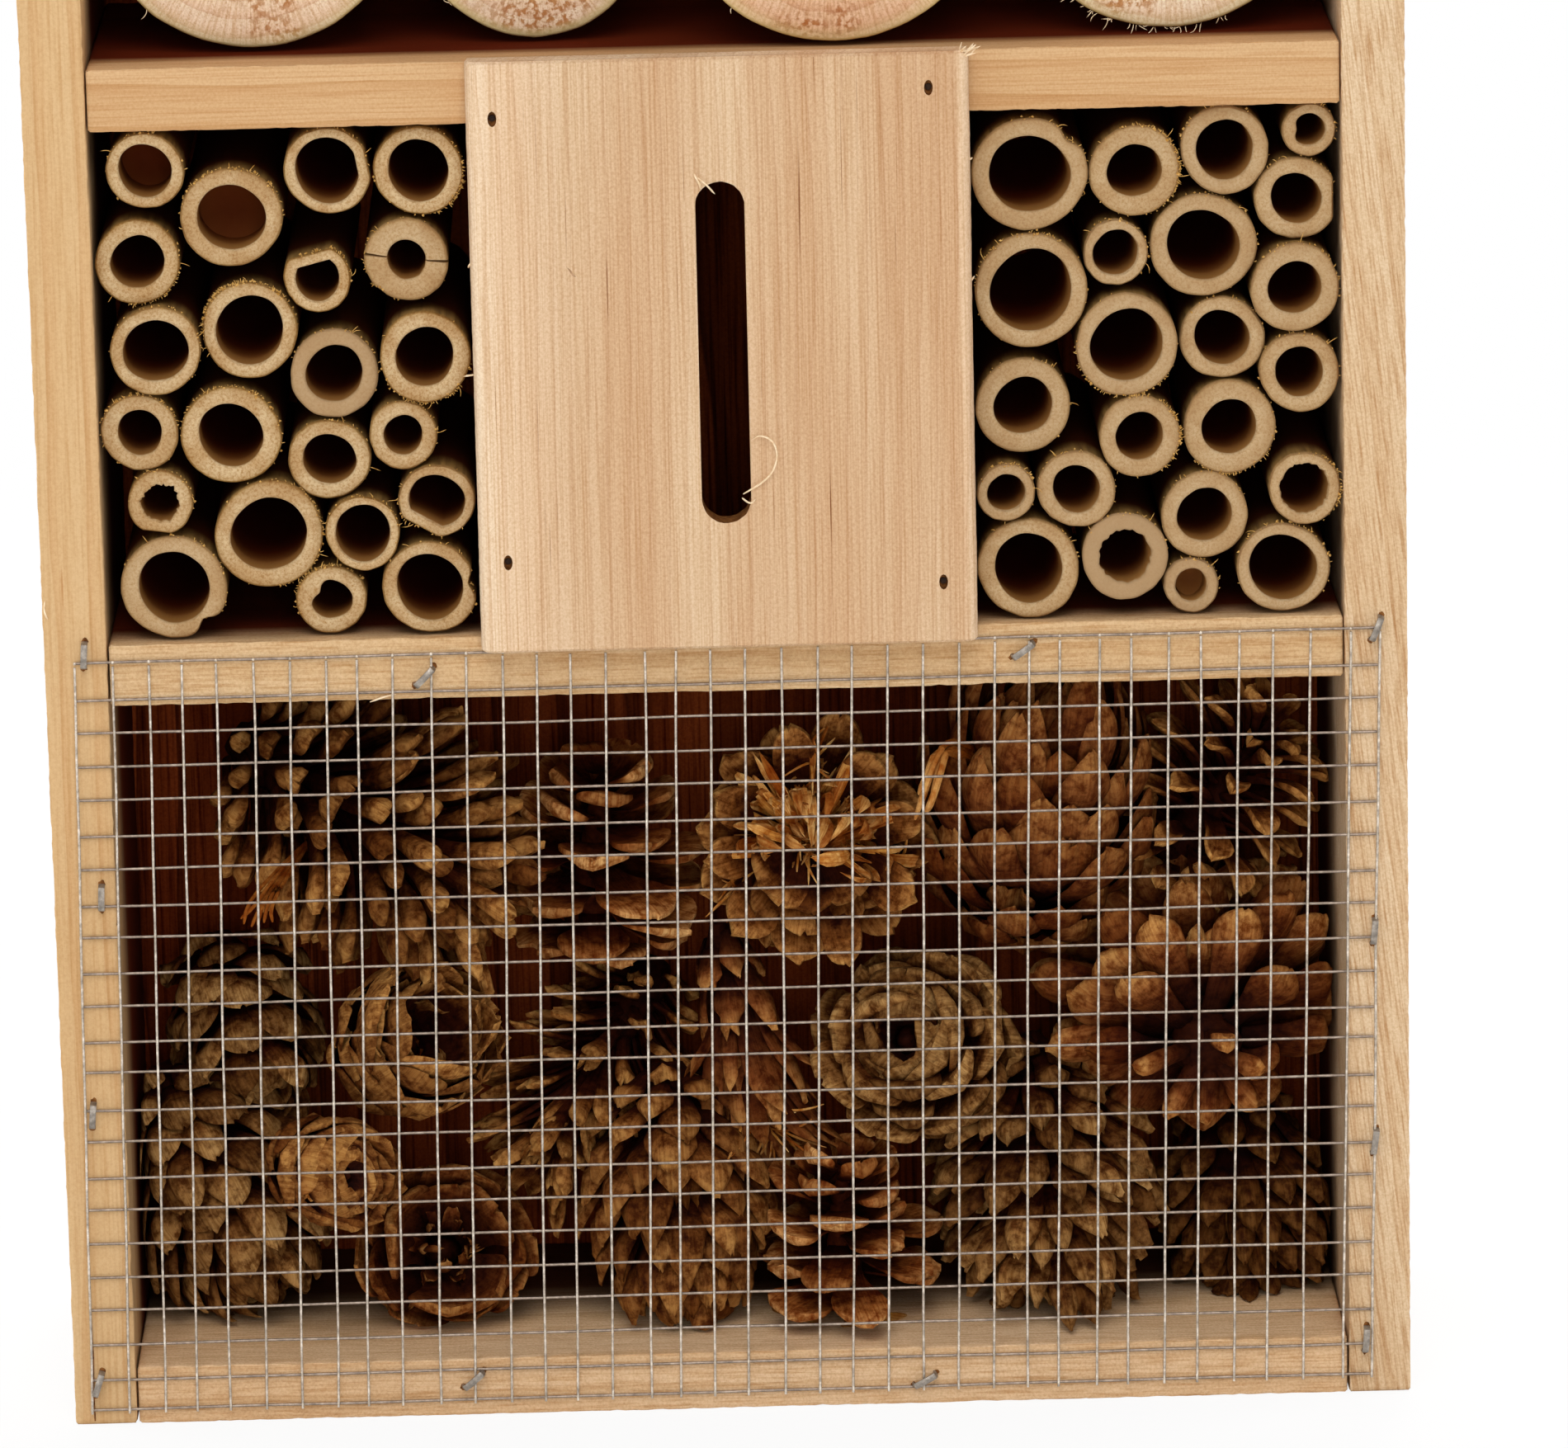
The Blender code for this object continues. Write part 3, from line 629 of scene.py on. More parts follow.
panelPoints = nodePoints(panel["node"])
panelLow, panelHigh = panelPoints.min(0), panelPoints.max(0)
panelMiddle, panelFace = (panelLow[0] + panelHigh[0]) / 2, panelLow[1]
points, faces = boardShape(panel, panel["seed"], panel["radii"], panel["chip"])[:2]
panelPiece = makePiece("butterflyPanel", points, faces, [planedFir, bruiseAndShadeFir], [panel["node"]],
                       sharp=panel["sharp"])
slotFoot, slotRadius = panelLow[2] + panel["slotFoot"], panel["slotWide"] / 2
slotLine = []
for k in range(panel["slotPoints"]):
    angle = fullTurn * (k + 0.5) / panel["slotPoints"]
    end = slotFoot + (panel["slotHigh"] - slotRadius if math.sin(angle) > 0 else slotRadius)
    radius = slotRadius + panel["slotWave"] * roundRipple(6, angle, 0.4, 2)
    slotLine.append((panelMiddle + radius * math.cos(angle), end + radius * math.sin(angle)))
cuts = [prismBetween(slotLine, panelFace - 2, panelHigh[1] + 2)]
pitHalf = (panel["pitWide"] / 2, panel["pitHigh"] / 2)
for x, z in panel["pits"]:
    pitLine = [(x + pitHalf[0] * math.cos(a), z + pitHalf[1] * math.sin(a)) for a in turns(12)]
    cuts.append(prismBetween(pitLine, panelFace - 1, panelFace + panel["pitDeep"]))
cuts.append(prismBetween(panel["nick"], panelFace - 1, panelFace + panel["nickDeep"]))
cutOut(panelPiece, cuts)
cutPoints = np.array([vertex.co for vertex in panelPiece.data.vertices]) / mm
addMark(panelPiece.data, "grain", cutPoints[:, [2, 0, 1]] + panel["grainShift"])
# creamy, paler wood on the left, and a painted highlight along the rounded right edge
fromLeft, fromRight = cutPoints[:, 0] - panelLow[0], panelHigh[0] - cutPoints[:, 0]
(leftEnd, leftFade), (rightEnd, rightFade) = panel["creamLeft"], panel["creamRight"]
pinkish = smooth((fromLeft - leftEnd) / leftFade) * smooth((fromRight - rightEnd) / rightFade)
addMark(panelPiece.data, "stain", pinkish)
for face in panelPiece.data.polygons:  # the slot's walls are dark as painted shade, and the nails crushed their pits
    x, y, z = face.center / mm
    inSlot = abs(x - panelMiddle) < slotRadius + 0.3 and -0.3 < z - slotFoot < panel["slotHigh"] + 0.3
    nearPit = any(abs(x - a) < panel["pitWide"] and abs(z - b) < panel["pitHigh"] for a, b in panel["pits"])
    inPit = nearPit and y - frontY > panelFace + 0.05
    face.material_index = 1 if inPit or inSlot and abs(face.normal.y) < 0.5 else 0
panelPiece.data.set_sharp_from_angle(angle=math.radians(panel["sharp"]))
print("panel made")


# bamboo tubes

caneDefaults = {  # crumbs: how many frayed bits, and round which angle
    "flat": None, "bite": None, "bean": None, "septum": None, "split": None, "ragged": 0.0, "shade": 0.0,
    "crumbs": (5, 60), "lean": 0.0, "dust": 0.0,
}
rightCane = dict(caneDefaults, lean=-0.07, dust=0.34)  # they point a little outwards, and their faces are greyer and darker
caneSpecials = {  # angles in degrees, anticlockwise from the right as seen from the front
    "left_01a": {"septum": 12, "crumbs": (5, 100)}, "left_01b": {"septum": 11, "crumbs": (26, 85)},
    "left_02a": {"flat": (10, 0.07)}, "left_02b": {"crumbs": (30, -20)}, "left_03a": {"crumbs": (14, -40)},
    "left_04a": {"flat": (104, 0.22), "crumbs": (12, 60)},
    "left_04b": {"shade": 0.5, "split": 172, "crumbs": (8, 200)},
    "left_05a": {"crumbs": (64, 110)}, "left_05b": {"shade": 0.8}, "left_06b": {"crumbs": (26, -70)},
    "left_07a": {"crumbs": (34, 90)}, "left_07b": {"crumbs": (24, 80)},
    "left_09a": {"flat": (262, 0.1), "ragged": 0.4}, "left_09b": {"bite": (310, 0.2), "shade": 0.5},
    "left_10a": {"crumbs": (26, -5)}, "left_10b": {"bean": (150, 0.35), "crumbs": (30, 110)},
    "left_11a": {"bite": (5, 0.18)}, "left_11b": {"flat": (240, 0.17), "crumbs": (12, 190)},
    "right_01a": {"bite": (42, 0.12)}, "right_01b": {"crumbs": (52, 15)}, "right_02a": {"crumbs": (5, 130)},
    "right_02b": {"bean": (180, 0.3)}, "right_03b": {"flat": (0, 0.12)}, "right_04a": {"crumbs": (18, 100)},
    "right_06a": {"crumbs": (26, 265)}, "right_06b": {"crumbs": (40, 10)}, "right_07a": {"crumbs": (26, -65)},
    "right_09b": {"ragged": 0.3, "shade": 0.6}, "right_10a": {"septum": 5, "shade": 0.3},
    "right_11a": {"crumbs": (14, 70)}, "right_11b": {"ragged": 0.25, "crumbs": (16, 20)},
}
caneForm = {  # shares of the radii, waves and depths in mm, and how wide each fault is in radians
    "around": 64, "splitAround": 160, "oval": 0.018, "lobes": 0.01, "boreOval": 0.035, "boreLobes": 0.012,
    "skinWave": 0.14, "boreWave": 0.1, "sawWave": 0.22, "faceWave": 0.16, "thinnest": 1.1, "flatWall": 2,
    "biteWide": 0.22, "beanWide": 0.5, "flatWide": 1.3, "crack": 1.6, "septumWave": 0.3, "septumDish": 1.6,
    "outside": (30, 14, 6, 2.2, 0.9), "inside": (1.2, 2.6, 5, 9, 16, 30),
}
fraying = {  # crumbs and hairs stand round an angle, within so many degrees
    "crumbSpread": 50, "crumbSize": (0.12, 0.36), "crumbInset": (-0.5, 0.25), "crumbDepth": (-0.1, 1.2),
    "hairSpread": 42, "hairThick": 0.14, "longHair": (0.8, 2.4), "shortHair": (0.35, 0.95), "hairBend": 1.6,
}


def canesOf(node):
    # centre, radii, front and back of each tube in a node, the one further left first
    points = nodePoints(node)
    found = []
    for y in np.unique(np.round(points[:, 1], 2)):
        rim = points[np.abs(points[:, 1] - y) < 0.02]
        if y < 10 and len(rim) >= 20:
            middle = (rim.min(0) + rim.max(0)) / 2
            reach = np.hypot(rim[:, 0] - middle[0], rim[:, 2] - middle[2])
            found.append((middle[0], middle[2], reach.max(), reach.min(), y, points[:, 1].max()))
    return sorted(found)


def caneShape(cane, look, seed):
    x, z, outer, bore, front, back = cane
    form = caneForm
    angles = turns(form["splitAround" if look["split"] else "around"])
    around = len(angles)
    lean = random.Random(seed).uniform(0, 6.28)
    out = outer * (1 + form["oval"] * np.cos(2 * angles + lean) +
                   form["lobes"] * np.cos(3 * angles + 2 * lean))
    inn = bore * (1 + form["boreOval"] * np.cos(2 * angles + lean + 1) +
                  form["boreLobes"] * np.cos(3 * angles - lean))
    torn = np.zeros(around)
    for k, angle in enumerate(angles):
        hollow = roundRipple(2, angle, 2.3, seed)
        out[k] += form["skinWave"] * roundRipple(4, angle, 0.3, seed)
        inn[k] += form["boreWave"] * hollow
        torn[k] = look["ragged"] * (0.5 * hollow + 1.6 * roundRipple(6, angle, 4.3, seed))
        for kind in ("flat", "bite", "bean"):
            if not look[kind]:
                continue
            where, amount = look[kind]
            apart = (angle - math.radians(where) + math.pi) % fullTurn - math.pi
            if kind == "bite":
                out[k] -= outer * amount * math.exp(-(apart / form["biteWide"]) ** 2)
            elif kind == "bean":
                inn[k] -= bore * amount * math.exp(-(apart / form["beanWide"]) ** 2)
            elif abs(apart) < form["flatWide"]:
                out[k] = min(out[k], outer * (1 - amount) / math.cos(apart))
                inn[k] = min(inn[k], max(0.3, outer * (1 - amount) - form["flatWall"]) / math.cos(apart))
    deepBore = np.minimum(inn, out - form["thinnest"])
    inn = np.minimum(inn + torn, out - form["thinnest"])
    points, marks = [], []

    def ringAt(radii, share, depths, slide=0.0):
        for radius, angle, depth in zip(radii, angles, np.broadcast_to(depths, around)):
            points.append(onCircle(x + slide, front + depth, z, radius, angle))
            marks.append((share, angle * outer, max(0, depth)))

    saw = np.array([form["sawWave"] * roundRipple(2, angle, 7.7, seed) for angle in angles])
    if look["split"]:  # a hairline crack through the wall on both sides
        for turn in (look["split"], look["split"] + 184):
            saw[round(turn / 360 * around) % around] += form["crack"]
    long = back - front
    for depth in (long, *form["outside"]):
        ringAt(out, 1.0, depth)
    ringAt(out, 1.0, saw + 0.38)
    ringAt(out - 0.22, 0.97, saw + 0.1)
    for share in (0.85, 0.6, 0.35, 0.14):
        uneven = np.array([ripple(share * 9, angle * 4, 3.1, seed) for angle in angles])
        ringAt(inn + (out - inn) * share, share, saw - 0.1 + form["faceWave"] * uneven)
    ringAt(inn + 0.12, 0.04, saw + 0.12)
    ringAt(inn, 0.0, saw + 0.45)
    for depth in (*form["inside"], long):
        bored = inn + (deepBore - inn) * min(1, depth / 4)
        ringAt(bored * (1 + 0.02 * math.sin(depth)), 0.0, depth, look["lean"] * min(depth, 10))
    rings = len(points) // around
    last = (rings - 1) * around
    faces = ringFaces(rings, around)
    faces += [(last + k, last + (k + 1) % around, (k + 1) % around, k) for k in range(around)]
    if look["septum"]:
        first = len(points)
        for share in (1.02, 0.85, 0.6, 0.3):
            uneven = np.array([ripple(share * 5, angle * 2, 1.1, seed) for angle in angles])
            dish = form["septumDish"] * (1 - share ** 2)
            ringAt(deepBore * share, 0.0, look["septum"] + dish + form["septumWave"] * uneven)
        faces += ringFaces(4, around, first) + [tuple(range(first + 3 * around, first + 4 * around))]
    return points, faces, marks, out


def rimSpot(cane, out, angle, inset, depth):
    # a place on a tube's sawn rim
    radius = out[int(angle / fullTurn * len(out)) % len(out)] + inset
    return onCircle(cane[0], cane[4] + depth, cane[1], radius, angle)


def crumbShape(rng, at, size, start):
    # a torn chip: a six-cornered lump with uneven corners
    points, faces = [], []
    for way in ((1, 0, 0), (0, 1, 0), (-1, 0, 0), (0, -1, 0), (0, 0, 1), (0, 0, -1)):
        points.append([spot + step * size * rng.uniform(0.35, 1.1) + rng.uniform(-0.2, 0.2) * size
                       for spot, step in zip(at, way)])
    for a, b in ((0, 1), (1, 2), (2, 3), (3, 0)):
        faces += [(start + a, start + b, start + 4), (start + b, start + a, start + 5)]
    return points, faces


caneCount = 0
for node in sorted(name for name in cadNodes if name.startswith("bamboo_")):
    points, faces, marks, shades, finish = [], [], [], [], []
    for letter, cane in zip("ab", canesOf(node)):
        caneCount += 1
        special = caneSpecials.get(node.replace("bamboo_", "") + letter, {})
        look = dict(rightCane if "right" in node else caneDefaults, **special)
        crumbs, crumbAt = look["crumbs"]
        rng = random.Random(500 + caneCount)
        lump, lumpFaces, lumpMarks, out = caneShape(cane, look, caneCount)
        faces += moved(lumpFaces, len(points))
        points += lump
        marks += lumpMarks
        finish += [0] * len(lumpFaces)
        # frayed crumbs and fibres where the saw left the rim
        for k in range(3 * crumbs + rng.randint(0, 30)):
            angle = math.radians(rng.gauss(crumbAt, fraying["crumbSpread"]))
            inset, depth = rng.uniform(*fraying["crumbInset"]), rng.uniform(*fraying["crumbDepth"])
            at = rimSpot(cane, out, angle, inset, depth)
            lump, lumpFaces = crumbShape(rng, at, rng.uniform(*fraying["crumbSize"]), len(points))
            points += lump
            faces += lumpFaces
        hairs = []
        for k in range(crumbs + rng.randint(0, 3)):
            angle = math.radians(rng.gauss(crumbAt, fraying["hairSpread"]))
            at = rimSpot(cane, out, angle, -0.1, rng.uniform(0, 0.5))
            length = rng.uniform(*fraying["longHair" if k < 2 else "shortHair"])
            heading = (math.cos(angle), rng.uniform(-0.8, 0.4), math.sin(angle))
            hairs.append(hairPath(rng, at, heading, length, fraying["hairBend"]))
        lump, lumpFaces = strandMesh(hairs, fraying["hairThick"], start=len(points))
        points += lump
        faces += lumpFaces
        finish += [1] * (len(faces) - len(finish))
        marks += [(0.9, 0, 0)] * (len(points) - len(marks))
        shade = min(1, look["shade"] * 0.7 + look["dust"] + rng.uniform(0, 0.22))
        shades += [shade] * (len(points) - len(shades))
    makePiece(node.replace("_", "") + "Canes", points, faces, [cutBamboo, goldFibre], [node],
              {"cane": marks, "shade": shades}, finish)
print("bamboo made,", caneCount, "tubes")


# logs

logs = {
    "log_1": {"seed": 3, "shade": 0.3, "hairs": 5},
    "log_2": {"seed": 5, "shade": 0.3, "hairs": 6},
    "log_3": {"seed": 8, "shade": 0.9, "hairs": 4},
    "log_4": {"seed": 13, "shade": 0.0, "hairs": 30, "hairAt": (4.5, 0.35)},
}
logForm = {
    "around": 96, "worn": 0.35, "wavy": 0.8, "bastWide": 1.1, "bastFade": 0.8,
    "hairThick": 0.16, "hairLong": (0.8, 3.0), "hairBend": 1.4,
}
for node, look in logs.items():
    seed = look["seed"]
    shape = nodePoints(node)
    front, back = shape[:, 1].min(), shape[:, 1].max()
    rim = shape[shape[:, 1] < front + 3][:, [0, 2]]
    x, z = (rim.min(0) + rim.max(0)) / 2
    outer = (rim[:, 0].max() - rim[:, 0].min()) / 2
    hole = np.hypot(rim[:, 0] - x, rim[:, 1] - z).min()
    angles = turns(logForm["around"])
    wave = [0.5 * roundRipple(1.3, a, 0.2, seed) + 0.2 * roundRipple(7, a, 3, seed) for a in angles]
    edge = outer - logForm["worn"] + np.array(wave) * logForm["wavy"]
    # rings down the side, over the sawn face and into the hole, as the share of the radius and the depth
    levels = [(1.0, depth) for depth in (back - front, 40, 18, 7, 2.0, 0.8)] + [(0.99, 0.3)]
    levels += [(share, 0.0) for share in (0.975, 0.9, 0.8, 0.7, 0.6, 0.5, 0.4, 0.3)]
    levels += [(0, depth) for depth in (0.0, 0.6, 6, 20, 40)]
    points, marks, rims = [], [], []
    for share, depth in levels:
        for k, a in enumerate(angles):
            radius = max(hole, edge[k] * share) if share else hole + 0.15 * roundRipple(5, a, depth / 4, seed)
            rough = 0.25 * roundRipple(radius / 3, a, 9, seed) if depth < 0.5 else 0
            ridge = 0.12 * ripple(a * 9, depth / 12, 2, seed) if share == 1.0 and depth > 1 else 0
            points.append(onCircle(x, front + depth + rough, z, radius + ridge, a))
            marks.append((radius, a * outer, depth))
            rims.append(smooth((radius - edge[k] + logForm["bastWide"]) / logForm["bastFade"]))
    faces = tubeFaces(len(levels), len(angles))
    rng = random.Random(seed)
    hairs = []
    for k in range(look["hairs"]):
        a = rng.gauss(*look["hairAt"]) if "hairAt" in look else rng.uniform(0, 6.283)
        radius = edge[int(a / fullTurn * len(edge)) % len(edge)]
        at = onCircle(x, front + 0.4, z, radius, a)
        heading = (math.cos(a) + rng.uniform(-1, 1), rng.uniform(-0.6, 0.1), math.sin(a) + rng.uniform(-1, 1))
        hairs.append(hairPath(rng, at, heading, rng.uniform(*logForm["hairLong"]), logForm["hairBend"]))
    lump, lumpFaces = strandMesh(hairs, logForm["hairThick"], start=len(points))
    finish = [0] * len(faces) + [1] * len(lumpFaces)
    points += lump
    faces += lumpFaces
    marks += [(outer, 0, 0)] * len(lump)
    rims += [0] * len(lump)
    makePiece(node.replace("_", "") + "Sawn", points, faces, [logEnd, paleFibre], [node],
              {"trunk": marks, "shade": [look["shade"]] * len(points), "rim": rims}, finish)
print("logs made")


# wire mesh and staples

cloth = {  # cross wires lie on the wood, uprights are welded over them
    "node": "wire_mesh", "uprights": 38, "crossings": 23, "uprightY": -1.02, "crossY": -0.46, "wire": 0.5,
    "margin": 0.4, "lean": 2.3, "rise": 0.8, "stray": 0.32, "wander": 0.22,
    "uprightBow": 0.12, "crossBow": 0.08,
    "weld": 0.38, "weldY": -0.74, "weldRings": ((-0.75, 0.62), (-0.25, 0.97), (0.35, 0.9), (0.85, 0.45)),
    "weldDeep": 0.72, "weldWide": 0.85,
}
wireBox = nodePoints(cloth["node"])
wireLow, wireHigh = wireBox.min(0) + cloth["margin"], wireBox.max(0) - cloth["margin"]
wireRng = random.Random(11)
uprightShift = [wireRng.gauss(0, cloth["stray"]) for k in range(cloth["uprights"])]
crossShift = [wireRng.gauss(0, cloth["stray"]) for k in range(cloth["crossings"])]


def wirePlace(i, j):
    # where upright i and cross wire j would meet in a mesh that leans a little to the right
    u, v = i / (cloth["uprights"] - 1), j / (cloth["crossings"] - 1)
    x = wireLow[0] + cloth["lean"] * v + u * (wireHigh[0] - wireLow[0] - cloth["lean"])
    z = wireLow[2] + v * (wireHigh[2] - wireLow[2]) + cloth["rise"] * (u - 0.5)
    return x, z


def uprightX(i, j):
    return wirePlace(i, j)[0] + uprightShift[i] + cloth["wander"] * ripple(i * 3.1, j / 4, 0.5, 1)


def crossZ(i, j):
    return wirePlace(i, j)[1] + crossShift[j] + cloth["wander"] * ripple(j * 3.1, i / 5, 0.5, 2)


def halfSteps(count):
    # along a wire, two steps to each opening, from a little before its first weld
    return np.arange(-0.05, count - 0.94, 0.5)


uprightPaths, crossPaths, weldPoints, weldFaces = [], [], [], []
for i in range(cloth["uprights"]):
    path = [(uprightX(i, j), cloth["uprightY"] + cloth["uprightBow"] * ripple(i * 2.3, j / 3, 4),
             wirePlace(i, j)[1]) for j in halfSteps(cloth["crossings"])]
    uprightPaths.append(path)
for j in range(cloth["crossings"]):
    path = [(wirePlace(i, j)[0], cloth["crossY"] + cloth["crossBow"] * ripple(j * 2.3, i / 3, 8),
             crossZ(i, j)) for i in halfSteps(cloth["uprights"])]
    crossPaths.append(path)
    for i in range(cloth["uprights"]):
        x, z = uprightX(i, j), path[2 * i][2]
        size = cloth["weld"] * wireRng.uniform(0.8, 1.15)
        weldFaces += tubeFaces(4, 8, len(weldPoints))
        for high, share in cloth["weldRings"]:
            y, reach = cloth["weldY"] - size * cloth["weldDeep"] * high, size * share
            weldPoints += [(x + cloth["weldWide"] * reach * math.cos(a), y, z + reach * math.sin(a))
                           for a in turns(8)]
points, faces = strandMesh(uprightPaths, cloth["wire"], taper=(1, 1), sides=8)
faces += moved(weldFaces, len(points))
makePiece("wireUprights", points + weldPoints, faces, [zincBright], [cloth["node"]])
points, faces = strandMesh(crossPaths, cloth["wire"], taper=(1, 1), sides=8)
makePiece("wireCrossings", points, faces, [zincShadedCopy], [cloth["node"]])

staples = {  # x, z, and the crown's angle from upright in degrees
    "places": ((-115.7, 145.9, 4), (-114.3, 100.6, 2), (-117.5, 59.5, 5), (-118.5, 8.0, 18), (-49.6, 7.0, 50),
               (33.4, 4.8, 62), (117.3, 145.0, 22), (116.6, 88.3, 5), (116.5, 48.4, 8), (114.7, 10.4, 5),
               (-54.6, 140.4, 45), (53.5, 142.6, 55)),
    "crown": 4.5, "wide": 1.15, "thick": 0.5, "leg": 2.2, "high": 1.75,
    "section": ((-1, -0.6), (-0.6, -1), (0.6, -1), (1, -0.6), (1, 0.6), (0.6, 1), (-0.6, 1), (-1, 0.6)),
    "dent": 0.5, "dentRings": ((1.25, 0.02), (0.9, -0.12), (0.4, -0.1)),
}
half, high = staples["crown"] / 2, staples["high"]
shoulder = [(half, -staples["leg"]), (half, high - 0.7), (half - 0.25, high - 0.15), (half - 0.8, high)]
bow = [(-a, b) for a, b in shoulder] + [(0, high + 0.08)] + shoulder[::-1]
points, faces, bruisePoints, bruiseFaces = [], [], [], []
for x, z, turn in staples["places"]:
    turn = math.radians(turn)
    middle = np.array((x, 0, z))
    run = np.array((math.sin(turn), 0, math.cos(turn)))
    side = np.array((math.cos(turn), 0, -math.sin(turn)))
    spots = [middle + run * a - (0, b, 0) for a, b in bow]
    faces += tubeFaces(len(spots), len(staples["section"]), len(points))
    for k, spot in enumerate(spots):
        lift = np.cross(side, unit(spots[min(k + 1, len(spots) - 1)] - spots[max(k - 1, 0)]))
        for a, b in staples["section"]:
            points.append(spot + side * a * staples["wide"] / 2 + lift * b * staples["thick"] / 2)
    for end in (-1, 1):  # crushed wood round each leg
        first = len(bruisePoints)
        for share, deep in staples["dentRings"]:
            for a in turns(12):
                uneven = 1 + 0.4 * ripple(math.cos(a) * 2 + x, math.sin(a) * 2 + z, end)
                reach = staples["dent"] * share * uneven
                along = end * (half + 0.15) + reach * 1.2 * math.cos(a)
                bruisePoints.append(middle + run * along + side * reach * math.sin(a) + (0, deep, 0))
        bruiseFaces += ringFaces(3, 12, first) + [tuple(range(first + 24, first + 36))]
makePiece("meshStaples", points, faces, [stapleSteel], sharp=40)
# the split that runs down from the lowest staple on the left, drawn as a dark sliver on the face: painted
# shade
split = [(-119.3, 21.0), (-119.16, 13.0), (-119.36, 6.0), (-119.3, 0.7), (-119.56, 0.7), (-119.58, 6.0),
         (-119.38, 13.0)]
lump, lumpFaces = prismBetween(split, -0.05, 1.4)
bruiseFaces += moved(lumpFaces, len(bruisePoints))
makePiece("stapleBruises", bruisePoints + lump, bruiseFaces, [bruiseAndShadeFir])

# nails at the bottom of the panel's four pits: share of the radius, and depth behind the pit's bottom
nails = {"radius": 0.62, "rings": ((0.3, 3), (0.3, -0.05), (1.0, -0.12), (0.9, -0.3), (0.4, -0.36))}
points, faces = [], []
for x, z in panel["pits"]:
    faces += tubeFaces(len(nails["rings"]), 10, len(points))
    for share, deep in nails["rings"]:
        y, reach = panelFace + panel["pitDeep"] + deep, nails["radius"] * share
        points += [onCircle(x, y, z, reach, a) for a in turns(10)]
makePiece("panelNails", points, faces, [nailSteel])

splinters = {  # x and z along each fibre; the first on the panel is a curled shaving
    "onPanel": (((3.6, 173.9), (8.5, 176.9), (10.0, 180.6), (9.25, 183.7), (6.8, 184.8), (5.4, 183.8)),
                ((-3.2, 231.6), (-1.6, 230.4), (-0.2, 228.6)), ((-3.9, 232.4), (-2.9, 230.6), (-2.7, 229.6)),
                ((3.4, 173.2), (4.9, 172.2), (5.8, 173.0))),
    "onBoards": (((-59.8, 137.2), (-62.0, 136.8), (-64.6, 135.8)),
                 ((-122.0, 152.6), (-122.6, 154.2), (-122.4, 156.0))),
    "thick": 0.36, "panelBulge": 0.8, "boardBulge": 0.3,
    "corner": 12, "cornerLong": (1.4, 3.4), "cornerBend": 0.9,
    "edges": 4, "edgeLong": (0.7, 2.2), "edgeBend": 0.8,
}


def rounded(line):
    # cuts a line's corners off twice
    path = np.array(line, float)
    for k in range(2):
        near, far = 0.75 * path[:-1] + 0.25 * path[1:], 0.25 * path[:-1] + 0.75 * path[1:]
        path = np.concatenate([path[:1], np.stack([near, far], axis=1).reshape(-1, 3), path[-1:]])
    return path


def fibreLine(line, face, bulge):
    # a rounded fibre whose middle stands off the face
    path = rounded([(x, face, z) for x, z in line])
    path[:, 1] -= 0.1 + bulge * np.sin(np.linspace(0, math.pi, len(path)))
    return path


rng = random.Random(41)
paths = [fibreLine(line, panelFace, splinters["panelBulge"]) for line in splinters["onPanel"]]
paths += [fibreLine(line, 0, splinters["boardBulge"]) for line in splinters["onBoards"]]
for k in range(splinters["corner"]):  # the torn corner at the top right
    at = (panelHigh[0] - rng.uniform(0.2, 1.8), panelFace + rng.uniform(0.3, 2.5),
          panelHigh[2] - rng.uniform(0.3, 1.4))
    heading = (rng.uniform(0.1, 1), rng.uniform(-0.7, 0), rng.uniform(0.1, 1))
    paths.append(hairPath(rng, at, heading, rng.uniform(*splinters["cornerLong"]), splinters["cornerBend"]))
for k in range(splinters["edges"]):  # fuzz along both long edges
    end = rng.choice((-1, 1))
    x = panelHigh[0] - 0.2 if end > 0 else panelLow[0] + 0.2
    at = (x, panelFace + rng.uniform(2.6, 4), rng.uniform(panelLow[2] + 2, panelHigh[2] - 2))
    heading = (end, rng.uniform(-0.4, 0.2), rng.uniform(-1.4, 1.4))
    paths.append(hairPath(rng, at, heading, rng.uniform(*splinters["edgeLong"]), splinters["edgeBend"]))
points, faces = strandMesh(paths, splinters["thick"], taper=(0.5, 0.15), sides=5)
makePiece("looseSplinters", points, faces, [paleFibre])
print("mesh, staples, nails and splinters made")


# pine cones

bayLow = (nodePoints("left_side_board")[:, 0].max() + 0.3, 0.6, nodePoints("bottom_board")[:, 2].max() + 0.1)
bayHigh = (nodePoints("right_side_board")[:, 0].min() - 0.3, nodePoints("back_panel")[:, 1].min() - 0.3,
           nodePoints("lower_shelf")[:, 2].min() - 0.1)

coneDefaults = {  # lengths in mm; a cone's open angles are from its axis, at the base, the middle and the tip
    "neck": 0.5, "shoulder": 0.6, "web": 0.9, "umbo": 0.5, "unruly": 8, "first": 0.0, "last": 1.0,
    "snapped": 0.06, "longest": 0.62, "nest": 0, "lop": (0, 0), "finish": "weathered", "old": 0, "stalk": 0,
    "rootShare": 1, "torn": False, "tufts": None, "extra": (),
}
tongue = dict(wide=5.2, tipRound=0.9, shoulder=0.84, neck=0.55, lip=3.6, web=1.3, curl=-0.35, umbo=0.6,
              cup=0.12)
knob = dict(tipRound=0.35, shoulder=0.72, web=1.2, curl=0.05, umbo=1.1, cup=0.2, finish="grey")
petal = dict(tipRound=1.0, shoulder=0.66, neck=0.45, lip=2.6, web=1.0, curl=0.3, umbo=0.3, cup=0.16,
             finish="ripe")
shut = dict(tipRound=0.7, lip=2.0, curl=0.35, umbo=0.8, cup=0.3)
basket = dict(open=(42, 30, 22), tipRound=0.8, lip=1.3, curl=0.55, cup=0.26, longest=0.75, nest=0.9)
